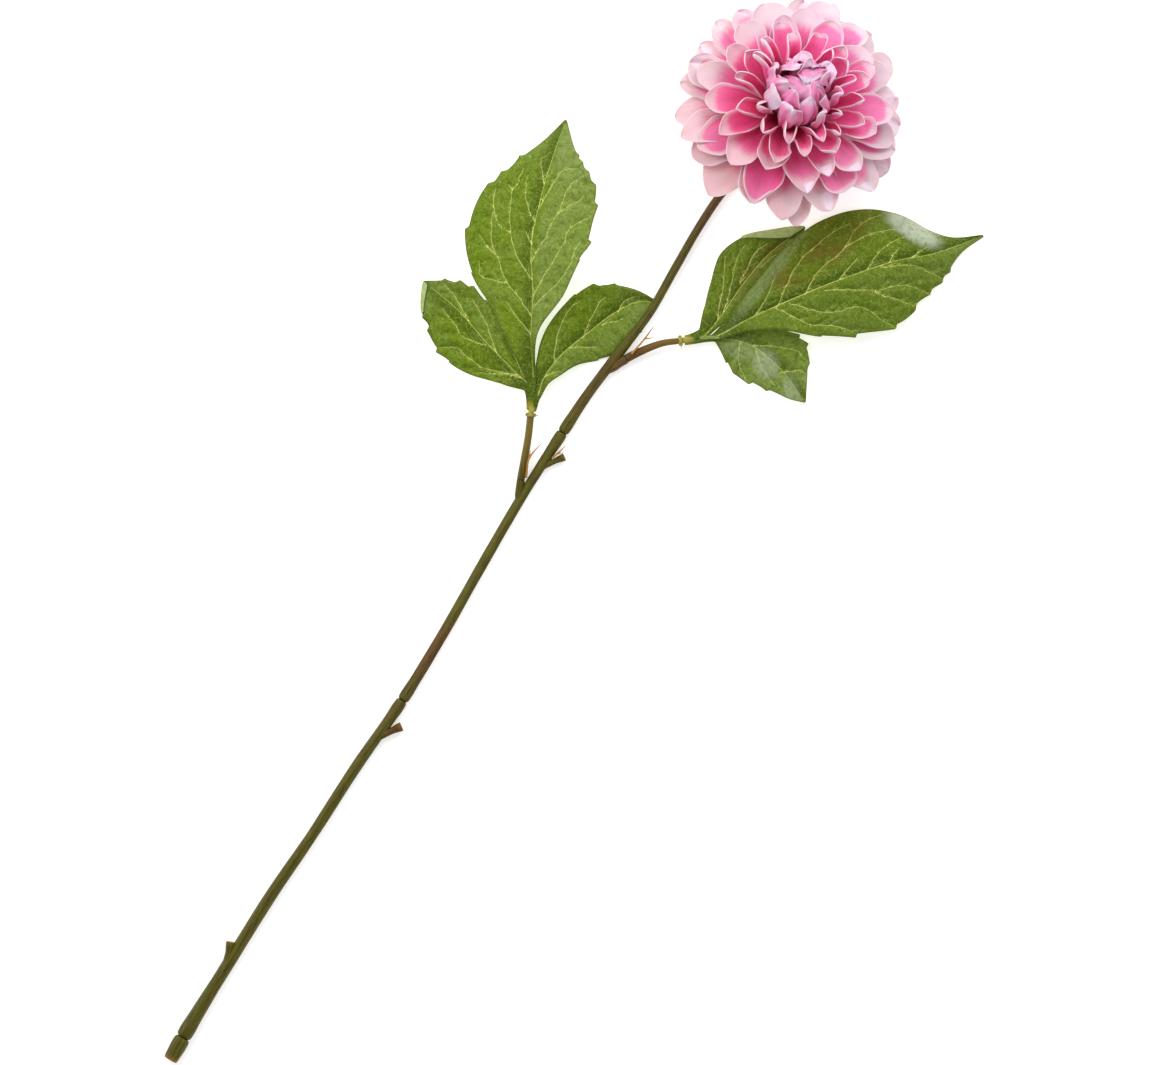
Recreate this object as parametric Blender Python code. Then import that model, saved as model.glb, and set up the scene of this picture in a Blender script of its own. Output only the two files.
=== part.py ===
"""A fabric dahlia on a sectioned, moulded stem, as it lies on a flat surface.

The stem runs along +Y from its cut end to the head. X is across it and Z is up, and the surface is
Z = 0. Lengths are in millimetres, and mesh_object turns them into metres. The head is built on its
own axis, which leans from upright towards +Y, so the stem bends up into the back of it.
"""

import math

import bmesh
import bpy
import numpy as np

MM = 0.001
CENTRE_X, CENTRE_Y = 10.6, 311.0  # middle of the whole flower, which becomes the origin
CLEARANCE = 0.3  # between pieces that touch in the real flower

# Stem: places along its length, with the radius there
STEM_PATH = (
    (-3.3, 0.0, 3.6), (-3.8, 14.0, 3.6), (-4.1, 60.0, 3.1), (-4.0, 100.0, 3.0), (-2.7, 130.0, 2.8),
    (-2.0, 175.0, 2.8), (-0.1, 214.0, 2.7), (-0.4, 252.0, 2.6), (-2.0, 290.0, 2.6), (-3.4, 335.0, 2.6),
    (-3.2, 370.0, 2.8), (-2.8, 390.0, 3.0), (-0.6, 416.0, 3.7), (2.0, 442.0, 4.0), (1.0, 470.0, 3.8),
    (0.2, 495.0, 3.5), (0.8, 512.0, 3.2), (3.4, 527.0, 3.1), (6.2, 539.0, 3.4),
)
STEM_RADII = ((0, 3.6), (25, 3.5), (45, 3.1), (100, 3.0), (130, 2.8), (200, 2.7), (260, 2.55),
              (300, 2.5), (330, 2.4), (370, 2.65), (400, 2.5), (418, 2.6), (435, 2.05), (460, 2.1),
              (520, 2.05), (600, 2.0))
STEM_JOINTS = (13.0, 214.0, 370.0)
STEM_SIDES, STALK_SIDES, SHOOT_SIDES, HEAD_SIDES = 10, 8, 6, 16
RING_STEP = 14.0
ROUTE_POINTS, ROUTE_STEP = 600, 0.5
SPIGOT_RADIUS, SPIGOT_LENGTH = 1.5, 5.0
NECK_WIDTH = 0.9  # of spigot that shows between two sections
NECK_ROUNDING, NECK_SHARE = 2.2, 0.78  # a section's rounded end: its length, and its radius over the stem's
CUT_ROUNDING, CUT_SHARE = 1.2, 0.8  # the same at the stem's cut end
BEND_RADIUS, BEND_LENGTH, BEND_RINGS = 22.0, 34.0, 10  # the stem's turn up into the head
BEND_OFFSET = 0.9  # sideways, where the turn starts
STUB_STRAIGHT = 0.7  # share of a stub before it widens to its cut tip

# Head: its middle, its lean from upright, and the post that the petal discs are threaded on
HEAD_CENTRE = (7.8, 565.0, 26.2)
HEAD_OVAL = 0.035  # how much longer the petals are along the stem, and shorter across it
HEAD_LEAN = math.radians(22)
POST_RADIUS, POST_FOOT, POST_TOP = 3.4, -3.0, 15.6
HUB_RADIUS = 6.5
HUB_THICKNESS, PETAL_THICKNESS = 0.9, 0.5
CALYX_FOOT, CALYX_TOP = -11.0, -3.3
CALYX_WALL = 1.2  # round the stem's socket
CALYX_FLARE = ((4.0, -9.6), (6.4, -7.2), (8.8, -5.2), (9.5, CALYX_TOP))  # its outside, as (radius, height)
SOCKET_TOP = -6.5
PIN_RADIUS, PIN_REST = 2.2, -5.1  # the post's lower end, and the bottom of its hole in the calyx
POST_CHAMFER = 0.5
BUD_CENTRE = ((4.0, 0.0), (5.6, 5.0), (6.0, 9.6), (5.0, 14.6), (2.4, 17.2))  # (radius, height over the post)

# Petal discs from the back to the front: name, widest half width, cup depth, the line of a petal from
# the hub to its tip as (distance from the axis, height), and the petals' directions in degrees
DISCS = (
    ("petal_disc_1", 9.2, 1.6, ((6.5, -1.5), (34, 5.0), (58.5, -3.5)),
     (-144, -101, -57, -1, 43, 86, 134, 173)),
    ("petal_disc_2", 9.2, 1.8, ((6.5, -0.1), (33, 8.0), (57.5, 1.0)),
     (-159, -119, -66, -13, 27, 75, 116, 160)),
    ("petal_disc_3", 9.0, 2.0, ((6.5, 1.3), (32, 10.5), (57.0, 5.0)),
     (-171, -133, -82, -39, 10, 58, 99, 148)),
    ("petal_disc_4", 8.6, 2.0, ((6.5, 2.7), (30, 12.0), (53.0, 9.5)),
     (-168, -124, -80, -28, 14, 52, 84, 136)),
    ("petal_disc_5", 7.8, 2.2, ((6.5, 4.1), (28, 13.0), (48.0, 15.0)),
     (-146, -105, -53, -14, 30, 68, 110, 156)),
    ("petal_disc_6", 7.2, 2.4, ((6.5, 5.5), (26.5, 13.6), (43.5, 19.0)),
     (-121, -80, -36, 5, 56, 90, 130, 178)),
    ("petal_disc_7", 6.6, 2.4, ((6.5, 6.9), (24.0, 14.5), (36.0, 26.0)),
     (-124, -82, -31, 2, 48, 84, 130, 176)),
    ("petal_disc_8", 6.0, 2.0, ((6.5, 8.3), (21.8, 15.3), (30.8, 30.5)),
     (-99, -59, -17, 22, 64, 106, 150, 200)),
    ("petal_disc_9", 5.4, 1.6, ((6.5, 9.7), (20.0, 16.2), (26.2, 34.5)),
     (-124, -78, -40, 2, 44, 88, 134, 178)),
    ("bud_disc_outer", 7.0, 0.6, ((6.5, 11.1), (18.0, 13.2), (23.3, 42.5), (9.0, 41.8)),
     (-128, -80, -30, 20, 74, 126, 178)),
    ("bud_disc_middle", 5.6, 0.5, ((6.5, 12.5), (15.4, 14.2), (19.5, 40.0), (6.5, 39.0)),
     (-104, -52, 0, 50, 102, 154, 206)),
    ("bud_disc_inner", 4.3, 0.4, ((6.5, 13.9), (12.0, 16.2), (14.5, 37.0), (4.2, 36.0)),
     (-110, -50, 10, 70, 130, 190)),
)
OUTER_DISCS = 3
PETAL_ROWS = 5
POINT_SHARE = 0.8  # of its tip's width that a bract loses
PETAL_SHAPE = ((0.0, 0.0), (0.25, 0.42), (0.5, 0.86), (0.68, 1.0), (0.85, 0.8), (1.0, 0.3))
BRACTS = (4.6, 0.6, ((6.5, -2.55), (14.0, -2.2), (20.0, -8.0)), (20, 65, 110, 155, 200, 245, 290, 335))

# Leaves: the places along a leaflet, from its foot to its tip, at which its shape is given
PLACES = (0.0, 0.1, 0.2, 0.35, 0.5, 0.65, 0.8, 0.9, 1.0)
LEAF_THICKNESS = 0.5
LEAF_ROWS = 12
LEAFLETS = {
    "leaflet_left_large": {
        "midrib": ((-28.8, 383.2), (-42, 402), (-52, 420), (-66, 441), (-74, 462), (-81, 487), (-84.5, 503)),
        "height": (6.9, 8.4, 9.3, 9.5, 8.5, 6.5, 4.0, 2.2, 0.4),
        "left": (3.0, 8.0, 15.0, 26.0, 32.5, 29.5, 16.5, 7.0, 0.4),
        "right": (1.2, 1.5, 4.0, 17.0, 27.0, 28.0, 23.5, 10.0, 0.4),
        "left_edge": (-0.5, -1.2, -2.0, -4.5, -7.5, -5.5, -3.0, -1.5, 0.0),
        "right_edge": (0.5, 1.0, 2.0, 6.0, 8.0, 8.0, 6.0, 2.0, 0.0),
    },
    "leaflet_left_lower": {
        "midrib": ((-28.5, 380), (-40, 383), (-60, 388), (-80, 394), (-102, 397)),
        "height": (6.0, 5.4, 5.0, 4.4, 3.8, 3.0, 2.2, 1.6, 0.8),
        "left": (3.0, 6.5, 10.7, 17.0, 20.7, 20.5, 15.5, 11.0, 0.4),
        "right": (1.2, 4.0, 7.0, 10.5, 12.7, 13.5, 11.5, 6.5, 0.4),
        "left_edge": (-0.5, -1.5, -2.5, -3.5, -3.4, -2.6, -1.6, -0.8, 0.0),
        "right_edge": (0.0, 0.0, -0.5, -0.5, 0.5, 2.0, 2.4, 1.5, 0.0),
    },
    "leaflet_left_inner": {
        "midrib": ((-23, 377.5), (-25.5, 388), (-25, 398), (-18, 421), (-12, 436), (-5, 446), (3, 450)),
        "height": (6.6, 6.4, 6.2, 5.4, 4.2, 2.6, 1.1, 0.7, 0.45),
        "left": (1.2, 3.6, 8.0, 14.5, 18.0, 18.5, 11.5, 4.5, 0.4),
        "right": (1.2, 3.0, 6.0, 9.5, 15.0, 17.0, 14.5, 9.5, 0.4),
        "left_edge": (-0.5, -0.8, -0.4, 2.0, 3.5, 3.5, 2.5, 0.5, 0.0),
        "right_edge": (0.0, 0.5, 0.0, -2.0, -3.2, -2.0, -0.6, -0.2, 0.0),
    },
    "leaflet_right_large": {
        "midrib": ((35.2, 449.8), (45, 466), (61, 490), (78, 513), (95, 533), (105, 542), (123, 564.5)),
        "height": (7.0, 9.8, 12.3, 14.5, 14.5, 12.5, 8.0, 4.0, 0.4),
        "left": (1.2, 7.0, 14.0, 25.0, 31.0, 28.5, 14.6, 4.7, 0.4),
        "right": (1.2, 4.5, 9.7, 23.0, 29.5, 30.0, 16.3, 4.7, 0.4),
        "left_edge": (0.0, -0.5, -1.5, -4.0, -9.0, -10.5, -6.0, -2.5, 0.0),
        "right_edge": (0.0, 0.5, 1.5, -2.0, -6.0, -7.0, -4.5, -2.0, 0.0),
    },
    "leaflet_right_upper": {
        "midrib": ((30.5, 447.4), (33, 460), (34, 480), (37, 500), (45, 521)),
        "height": (6.7, 6.3, 5.8, 5.2, 4.8, 4.4, 3.6, 2.6, 1.6),
        "left": (3.5, 7.0, 10.3, 14.0, 18.0, 15.5, 8.4, 4.5, 0.4),
        "right": (1.0, 2.0, 4.5, 8.0, 9.5, 9.0, 7.5, 5.0, 0.4),
        "left_edge": (-0.5, -1.0, -2.0, -3.4, -2.5, 0.5, 1.5, 1.0, 0.0),
        "right_edge": (-0.3, -1.0, -2.0, -2.6, -2.6, -2.0, -1.5, -1.0, 0.0),
    },
    "leaflet_right_lower": {
        "midrib": ((36.4, 449.6), (50, 456), (70, 455), (91.5, 447)),
        "height": (6.1, 6.0, 5.8, 5.4, 4.8, 3.8, 2.6, 1.6, 0.5),
        "left": (1.0, 2.5, 6.0, 13.0, 17.0, 17.5, 9.5, 5.0, 0.4),
        "right": (1.2, 9.5, 15.5, 16.5, 15.5, 13.0, 8.8, 5.5, 0.4),
        "left_edge": (0.0, -0.5, -1.0, -1.6, -1.6, -0.5, 0.5, 0.5, 0.0),
        "right_edge": (-0.5, -2.0, -4.0, -4.8, -4.2, -3.2, -2.0, -1.2, 0.0),
    },
}

# Leaf stalks: where each leaves the stem, its route to the collar, and the stalk that holds the leaflets
STALKS = {
    "left": {
        "route": (
            (-3.2, 326.5, 2.6), (-7.8, 337.5, 3.1), (-12.2, 348.5, 4.0), (-17.0, 360, 4.6), (-21.4, 369, 4.8),
        ),
        "peg_at": 13.0,
        "radii": (1.9, 1.7),
        "fork": ((-21.7, 369.6, 4.8), (-24.2, 375.0, 4.7), (-27.5, 380.5, 4.5)),
    },
    "right": {
        "route": (
            (-1.0, 405.5, 3.5), (2.6, 414.5, 3.9), (9.0, 425.5, 4.6), (15.5, 434, 5.0), (22.6, 440, 4.9),
        ),
        "peg_at": 13.5,
        "radii": (2.2, 1.5),
        "fork": ((23.0, 440.4, 4.9), (29.0, 444.8, 4.8), (35.6, 449.2, 4.6)),
    },
}
PEG_RADIUS, PEG_LENGTH = 0.9, 3.0
STALK_RINGS = 6
COLLAR_LENGTH = 2.4
COLLAR = ((0.3, 1.0), (0.3, 2.3), (0.9, 2.7), (1.8, 2.7), (2.4, 2.2))  # (distance, radius)
FORK = ((0.0, 1.5), (0.35, 1.5), (0.7, 1.3), (1.0, 0.9))  # (share of its length, radius)

# Cut stubs of side branches on the stem: foot on the stem's middle line, tip, and the two radii
STUBS = {
    "stem_lower": (
        ((-3.9, 54.0, 3.1), (-8.8, 66.2, 3.8), 1.8, 2.4),
        ((-0.9, 192.0, 2.8), (6.6, 202.6, 3.4), 1.6, 2.2),
    ),
    "stem_middle": (((-3.2, 349.5, 2.7), (4.2, 360.0, 3.0), 1.3, 1.9),),
}

# Thin forked shoots in the axils: foot, fork, and the two tips
SHOOTS = {
    "shoot_left": ((-6.7, 341.0, 4.8), (-10.4, 350.0, 7.4), (-9.2, 360.0, 8.2), (-12.0, 353.6, 8.0)),
    "shoot_right": ((5.2, 421.2, 7.0), (6.8, 431.0, 8.0), (7.4, 439.0, 8.8), (10.6, 434.2, 8.6)),
    "shoot_middle": ((-0.6, 356.6, 5.4), (0.3, 359.4, 5.9), (1.7, 365.0, 6.8), (2.6, 361.4, 6.4)),
}
SHOOT_RADII = (0.65, 0.5, 0.25)

STEM_GREEN, STALK_BROWN, COLLAR_YELLOW = (0.10, 0.10, 0.03), (0.16, 0.10, 0.03), (0.45, 0.34, 0.06)
SHOOT_BROWN, CALYX_GREEN, POST_GREEN = (0.36, 0.14, 0.02), (0.10, 0.16, 0.03), (0.30, 0.34, 0.12)
LEAF_GREEN = (0.14, 0.22, 0.02)
OUTER_PINK, MIDDLE_PINK, BUD_PINK = (0.62, 0.30, 0.36), (0.60, 0.09, 0.18), (0.66, 0.34, 0.50)
PLASTIC_ROUGHNESS, FABRIC_ROUGHNESS = 0.45, 0.7


def clear_scene():
    """Removes every object of the scene."""
    for old in list(bpy.data.objects):
        bpy.data.objects.remove(old, do_unlink=True)


def material(name, colour, roughness):
    """The material of this name, made at its first use."""
    made = bpy.data.materials.get(name)
    if made is None:
        made = bpy.data.materials.new(name)
        made.use_nodes = True
        shader = made.node_tree.nodes["Principled BSDF"]
        shader.inputs["Base Color"].default_value = (*colour, 1.0)
        shader.inputs["Roughness"].default_value = roughness
        shader.inputs["Metallic"].default_value = 0.0
    return made


def empty(name, parent, place, turn=(0.0, 0.0, 0.0)):
    """A frame that pieces are parented to."""
    made = bpy.data.objects.new(name, None)
    bpy.context.collection.objects.link(made)
    made.parent = parent
    made.location = [MM * value for value in place]
    made.rotation_euler = turn
    return made


def mesh_object(name, parts, finish, parent):
    """One object from (points, faces) parts whose shared points are joined, with its faces outwards."""
    mesh = bpy.data.meshes.new(name)
    points, faces, start = [], [], 0
    for part_points, part_faces in parts:
        part_points = np.asarray(part_points, float).reshape(-1, 3)
        points.extend((MM * part_points).tolist())
        faces.extend([start + index for index in face] for face in part_faces)
        start += len(part_points)
    mesh.from_pydata(points, [], faces)
    shaper = bmesh.new()
    shaper.from_mesh(mesh)
    bmesh.ops.remove_doubles(shaper, verts=shaper.verts, dist=1e-6)
    bmesh.ops.recalc_face_normals(shaper, faces=shaper.faces)
    shaper.to_mesh(mesh)
    shaper.free()
    mesh.shade_smooth()
    mesh.set_sharp_from_angle(angle=math.radians(40))
    made = bpy.data.objects.new(name, mesh)
    bpy.context.collection.objects.link(made)
    made.parent = parent
    made.data.materials.append(finish)
    return made


def join(target, helper):
    """Unites a hidden helper with its target, so that both are one moulded body."""
    helper.hide_render = True
    helper.display_type = "WIRE"
    union = target.modifiers.new(helper.name, "BOOLEAN")
    union.operation = "UNION"
    union.solver = "EXACT"
    union.object = helper


def smooth(places, values, at):
    """Smooth interpolation: cubics between the given places, with slopes from their neighbours."""
    places, values = np.asarray(places, float), np.asarray(values, float)
    slopes = np.gradient(values, places, axis=0)
    at = np.clip(np.asarray(at, float), places[0], places[-1])
    left = np.clip(np.searchsorted(places, at, side="right") - 1, 0, len(places) - 2)
    span = places[left + 1] - places[left]
    u = (at - places[left]) / span
    if values.ndim > 1:
        u, span = u[:, None], span[:, None]
    return (
        (2 * u**3 - 3 * u**2 + 1) * values[left]
        + (u**3 - 2 * u**2 + u) * span * slopes[left]
        + (3 * u**2 - 2 * u**3) * values[left + 1]
        + (u**3 - u**2) * span * slopes[left + 1]
    )


def lengths(points):
    """Distance of each point from the first, along the line through them."""
    steps = np.linalg.norm(np.diff(points, axis=0), axis=1)
    return np.concatenate([[0.0], np.cumsum(steps)])


class Route:
    """A smooth line through a few points, read by the distance along it."""

    def __init__(self, points, across):
        points = np.asarray(points, float)
        chords = lengths(points)
        fine = np.linspace(0.0, chords[-1], ROUTE_POINTS)
        self.points = smooth(chords, points, fine)
        self.along = lengths(self.points)
        self.length = self.along[-1]
        self.across = np.asarray(across, float)

    def at(self, distance):
        """Place, and two directions square to the line, at a distance. Past an end it runs on straight."""
        inside = min(max(distance, 0.0), self.length)
        place = self.read(inside)
        ahead = self.read(min(inside + ROUTE_STEP, self.length)) - self.read(max(inside - ROUTE_STEP, 0.0))
        ahead /= np.linalg.norm(ahead)
        side = self.across - self.across.dot(ahead) * ahead
        side /= np.linalg.norm(side)
        return place + (distance - inside) * ahead, side, np.cross(ahead, side)

    def read(self, distance):
        return np.array([np.interp(distance, self.along, self.points[:, axis]) for axis in range(3)])


def tube(route, profile, sides):
    """Rings round a route, one for each (distance, radius) of the profile, closed at both ends."""
    angles = 2 * math.pi * np.arange(sides) / sides
    rings = []
    for distance, radius in profile:
        place, side, up = route.at(distance)
        rings.append(place + radius * (np.outer(np.cos(angles), side) + np.outer(np.sin(angles), up)))
    faces = []
    for ring in range(len(profile) - 1):
        for step in range(sides):
            here, following = ring * sides + step, ring * sides + (step + 1) % sides
            faces.append((here, following, following + sides, here + sides))
    last = (len(profile) - 1) * sides
    faces.append(tuple(range(sides))[::-1])
    faces.append(tuple(range(last, last + sides)))
    return np.array(rings), faces


def turned(profile, sides):
    """A solid of revolution about Z, from (radius, height) points that start and end on its axis."""
    axis = Route(((0, 0, 0), (0, 0, 1)), (1, 0, 0))
    return tube(axis, [(height, radius) for radius, height in profile], sides)


def sheet_faces(rows, columns, first_wall_row, end_walls):
    """Faces of a sheet of two skins: its upper and lower skin, then its walls along the sides and ends.

    Both skins are split along the same diagonals, which are mirrored about the sheet's middle, so that
    the sheet is as thick across its twisted parts as elsewhere.
    """
    skin = rows * columns
    faces = []
    for row in range(rows - 1):
        for column in range(columns - 1):
            corner = row * columns + column
            quad = [corner, corner + 1, corner + columns + 1, corner + columns]
            if 2 * column < columns - 1:
                quad = quad[1:] + quad[:1]
            for triangle in ((quad[0], quad[1], quad[2]), (quad[0], quad[2], quad[3])):
                faces.append(triangle)
                faces.append(tuple(index + skin for index in triangle[::-1]))
        if row >= first_wall_row:
            for edge in (row * columns, row * columns + columns - 1):
                faces.append((edge, edge + columns, edge + columns + skin, edge + skin))
    for row in end_walls:
        for column in range(columns - 1):
            corner = row * columns + column
            faces.append((corner, corner + 1, corner + 1 + skin, corner + skin))
    return faces


def bezier(points, u):
    """Points of the curve that a petal's control points span, and its unit direction there."""
    points = np.asarray(points, float)
    order = len(points) - 1
    weights = [math.comb(order, i) * u**i * (1 - u) ** (order - i) for i in range(order + 1)]
    curve = sum(np.outer(weight, point) for weight, point in zip(weights, points))
    ahead = np.gradient(curve, u, axis=0)
    return curve, ahead / np.linalg.norm(ahead, axis=1, keepdims=True)


def petal_disc(half_width, cup, line, directions, pointed=False):
    """Two-skin petals that share a hub ring.

    A petal's point lies at the line's distance and height, moved along the line's normal by
    the cup depth times the square of its place across, and turned about the axis by its
    distance from the petal's middle over its distance from the axis. On the hub the petals are
    evenly spaced, and each turns to its own direction on its way out.
    """
    count = len(directions)
    u = np.linspace(0.0, 1.0, PETAL_ROWS + 1)
    curve, ahead = bezier(line, u)
    widths = np.interp(u, *zip(*PETAL_SHAPE)) * half_width
    if pointed:
        widths *= 1 - POINT_SHARE * u**3
    hub_half = math.pi / count
    hub_turn = np.mean(np.radians(directions)) - hub_half * (count - 1)
    half_angles = widths / curve[:, 0]
    half_angles[0] = hub_half
    half_angles = np.minimum(half_angles, hub_half)
    curve = np.vstack([(POST_RADIUS + CLEARANCE, curve[0, 1]), curve])
    normal = np.vstack([(0.0, 1.0), np.column_stack([-ahead[:, 1], ahead[:, 0]])])
    normal[1] = (0.0, 1.0)
    half_angles = np.concatenate([[hub_half], half_angles])
    thickness = np.concatenate([[HUB_THICKNESS] * 2, np.full(PETAL_ROWS, PETAL_THICKNESS)])
    cups = np.concatenate([[0.0, 0.0], cup * u[1:]])
    across = np.array([-1.0, 0.0, 1.0])
    turned_share = np.concatenate([[0.0], np.sin(0.5 * math.pi * u)])
    parts = []
    for petal, direction in enumerate(directions):
        on_hub = hub_turn + 2 * hub_half * petal
        middle = on_hub + turned_share * (math.radians(direction) - on_hub)
        angles = middle[:, None] + np.outer(half_angles, across)
        skins = []
        for side in (0.5, -0.5):
            lift = np.outer(cups, across**2) + side * thickness[:, None]
            distance = curve[:, :1] + lift * normal[:, :1]
            distance -= np.maximum(distance - HUB_RADIUS, 0.0) * HEAD_OVAL * np.cos(2 * angles)
            height = curve[:, 1:] + lift * normal[:, 1:]
            skins.append(np.stack([distance * np.cos(angles), distance * np.sin(angles), height], axis=-1))
        rows = len(curve)
        parts.append((np.array(skins), sheet_faces(rows, 3, 1, (0, rows - 1))))
    return parts


def leaflet(shape):
    """A two-skin leaflet: half widths set off square to its midrib, and edges raised or lowered.

    Across each half, the height changes by the edge value times the place across, to the power 1.5.
    """
    midrib = np.asarray(shape["midrib"], float)
    along = lengths(midrib)
    t = np.linspace(0.0, 1.0, LEAF_ROWS + 1)
    line = smooth(along / along[-1], midrib, t)
    ahead = np.gradient(line, t, axis=0)
    ahead /= np.linalg.norm(ahead, axis=1, keepdims=True)
    square = np.column_stack([-ahead[:, 1], ahead[:, 0]])
    height = smooth(PLACES, shape["height"], t)
    columns = []
    for side, places in (("left", (1.0, 0.5)), ("middle", (0.0,)), ("right", (0.5, 1.0))):
        for across in places:
            if side == "middle":
                columns.append(np.column_stack([line, height]))
                continue
            sign = 1.0 if side == "left" else -1.0
            offset = sign * across * smooth(PLACES, shape[side], t)
            rise = smooth(PLACES, shape[side + "_edge"], t) * across**1.5
            columns.append(np.column_stack([line + offset[:, None] * square, height + rise]))
    surface = np.stack(columns, axis=1)
    half = np.array([0.0, 0.0, 0.5 * LEAF_THICKNESS])
    rows = LEAF_ROWS + 1
    return [(np.array([surface + half, surface - half]), sheet_faces(rows, 5, 0, (0, rows - 1)))]


def stem_route():
    """The stem's middle line: its given places, then an arc up to the back of the head."""
    foot = head_point(CALYX_FOOT)
    end_lift = 0.5 * math.pi - HEAD_LEAN
    points = list(STEM_PATH)
    for share in (0.35, 0.6, 0.8, 1.0):
        back = 1 - share
        lift = end_lift * share
        reach = BEND_RADIUS * (math.sin(end_lift) - math.sin(lift))
        drop = BEND_RADIUS * (math.cos(lift) - math.cos(end_lift))
        points.append((foot[0] - BEND_OFFSET * back**2, foot[1] - reach, foot[2] - drop))
    points.append(tuple(head_point(SOCKET_TOP - CLEARANCE)))
    return Route(points, (1, 0, 0))


def head_point(height):
    """A place on the head's axis."""
    x, y, z = HEAD_CENTRE
    return np.array([x, y + height * math.sin(HEAD_LEAN), z + height * math.cos(HEAD_LEAN)])


def stem_radius(distance):
    places, radii = zip(*STEM_RADII)
    return float(np.interp(distance, places, radii))


def stem_profile(start, end, starts_at_joint, ends_at_joint):
    """(distance, radius) of one section, with a socket where it starts and a spigot where it ends."""
    profile = []
    first, last = start, end
    if starts_at_joint:
        first = start + 0.5 * NECK_WIDTH
        hole = SPIGOT_RADIUS + CLEARANCE
        profile += [(first + SPIGOT_LENGTH - NECK_WIDTH + CLEARANCE, hole), (first, hole)]
        profile.append((first, NECK_SHARE * stem_radius(first)))
        profile.append((first + NECK_ROUNDING, stem_radius(first)))
    else:
        profile += [(first, CUT_SHARE * stem_radius(first)), (first + CUT_ROUNDING, stem_radius(first))]
    if ends_at_joint:
        last = end - 0.5 * NECK_WIDTH
    inner = np.arange(first + NECK_ROUNDING + RING_STEP, last - NECK_ROUNDING, RING_STEP)
    profile += [(distance, stem_radius(distance)) for distance in inner]
    if ends_at_joint:
        profile.append((last - NECK_ROUNDING, stem_radius(last)))
        profile.append((last, NECK_SHARE * stem_radius(last)))
        profile += [(last, SPIGOT_RADIUS), (last + SPIGOT_LENGTH, SPIGOT_RADIUS)]
    return profile


def make_stem(flower):
    """Four moulded sections on one line, each plugged into the next, and the top one into the calyx."""
    route = stem_route()
    finish = material("stem_plastic", STEM_GREEN, PLASTIC_ROUGHNESS)
    ends = (0.0, *STEM_JOINTS, route.length)
    names = ("stem_tip", "stem_lower", "stem_middle", "stem_upper")
    sections = {}
    for index, name in enumerate(names):
        at_joint = index > 0, index < len(names) - 1
        profile = stem_profile(ends[index], ends[index + 1], *at_joint)
        if name == "stem_upper":
            bend = route.length - BEND_LENGTH
            profile = [station for station in profile if station[0] < bend]
            for share in np.linspace(0.0, 1.0, BEND_RINGS):
                distance = bend + share * (route.length - bend)
                profile.append((distance, stem_radius(distance)))
        sections[name] = mesh_object(name, [tube(route, profile, STEM_SIDES)], finish, flower)
    for name, stubs in STUBS.items():
        for number, (foot, tip, foot_radius, tip_radius) in enumerate(stubs, 1):
            line = Route((foot, tip), (0, 0, 1))
            straight = STUB_STRAIGHT * line.length
            profile = ((0, foot_radius), (straight, foot_radius), (line.length, tip_radius))
            stub = mesh_object(f"{name}_stub_{number}", [tube(line, profile, STALK_SIDES)], finish, flower)
            join(sections[name], stub)
    return sections


def make_stalk(side, shape, section, flower):
    """A leaf stalk: a peg on the stem, the stalk pushed onto it, a collar, and the leaflets' fork."""
    finish = material("stalk_plastic", STALK_BROWN, PLASTIC_ROUGHNESS)
    route = Route(shape["route"], (0, 0, 1))
    start, (foot_radius, end_radius) = shape["peg_at"], shape["radii"]
    boss = ((0, foot_radius), (start, foot_radius), (start, PEG_RADIUS), (start + PEG_LENGTH, PEG_RADIUS))
    join(section, mesh_object(f"boss_{side}", [tube(route, boss, STALK_SIDES)], finish, flower))
    first, hole = start + CLEARANCE, PEG_RADIUS + CLEARANCE
    end = route.length - CLEARANCE - 0.5 * COLLAR_LENGTH
    inner = [
        (first + share * (end - first), foot_radius + share * (end_radius - foot_radius))
        for share in np.linspace(0.0, 1.0, STALK_RINGS)
    ]
    profile = [(first + PEG_LENGTH + CLEARANCE, hole), (first, hole), *inner]
    mesh_object(f"stalk_{side}", [tube(route, profile, STALK_SIDES)], finish, flower)
    collar_profile = [(end + distance, radius) for distance, radius in COLLAR]
    yellow = material("collar_plastic", COLLAR_YELLOW, PLASTIC_ROUGHNESS)
    mesh_object(f"collar_{side}", [tube(route, collar_profile, STEM_SIDES)], yellow, flower)
    fork = Route(shape["fork"], (0, 0, 1))
    fork_start = 0.5 * COLLAR_LENGTH
    fork_profile = [(fork_start + share * (fork.length - fork_start), radius) for share, radius in FORK]
    green = material("fork_plastic", CALYX_GREEN, PLASTIC_ROUGHNESS)
    mesh_object(f"leaf_fork_{side}", [tube(fork, fork_profile, STALK_SIDES)], green, flower)


def make_shoot(name, points, flower):
    """A thin shoot that parts in two above its foot."""
    finish = material("shoot_plastic", SHOOT_BROWN, PLASTIC_ROUGHNESS)
    foot, fork, long_tip, short_tip = points
    thick, middle, thin = SHOOT_RADII
    main = Route((foot, fork, long_tip), (0, 0, 1))
    knee = float(np.linalg.norm(np.subtract(fork, foot)))
    main_profile = ((0, thick), (knee, middle), (main.length, thin))
    shoot = mesh_object(name, [tube(main, main_profile, SHOOT_SIDES)], finish, flower)
    branch = Route((fork, short_tip), (0, 0, 1))
    branch_profile = ((0, 0.8 * middle), (branch.length, thin))
    join(shoot, mesh_object(f"{name}_branch", [tube(branch, branch_profile, SHOOT_SIDES)], finish, flower))


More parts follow.
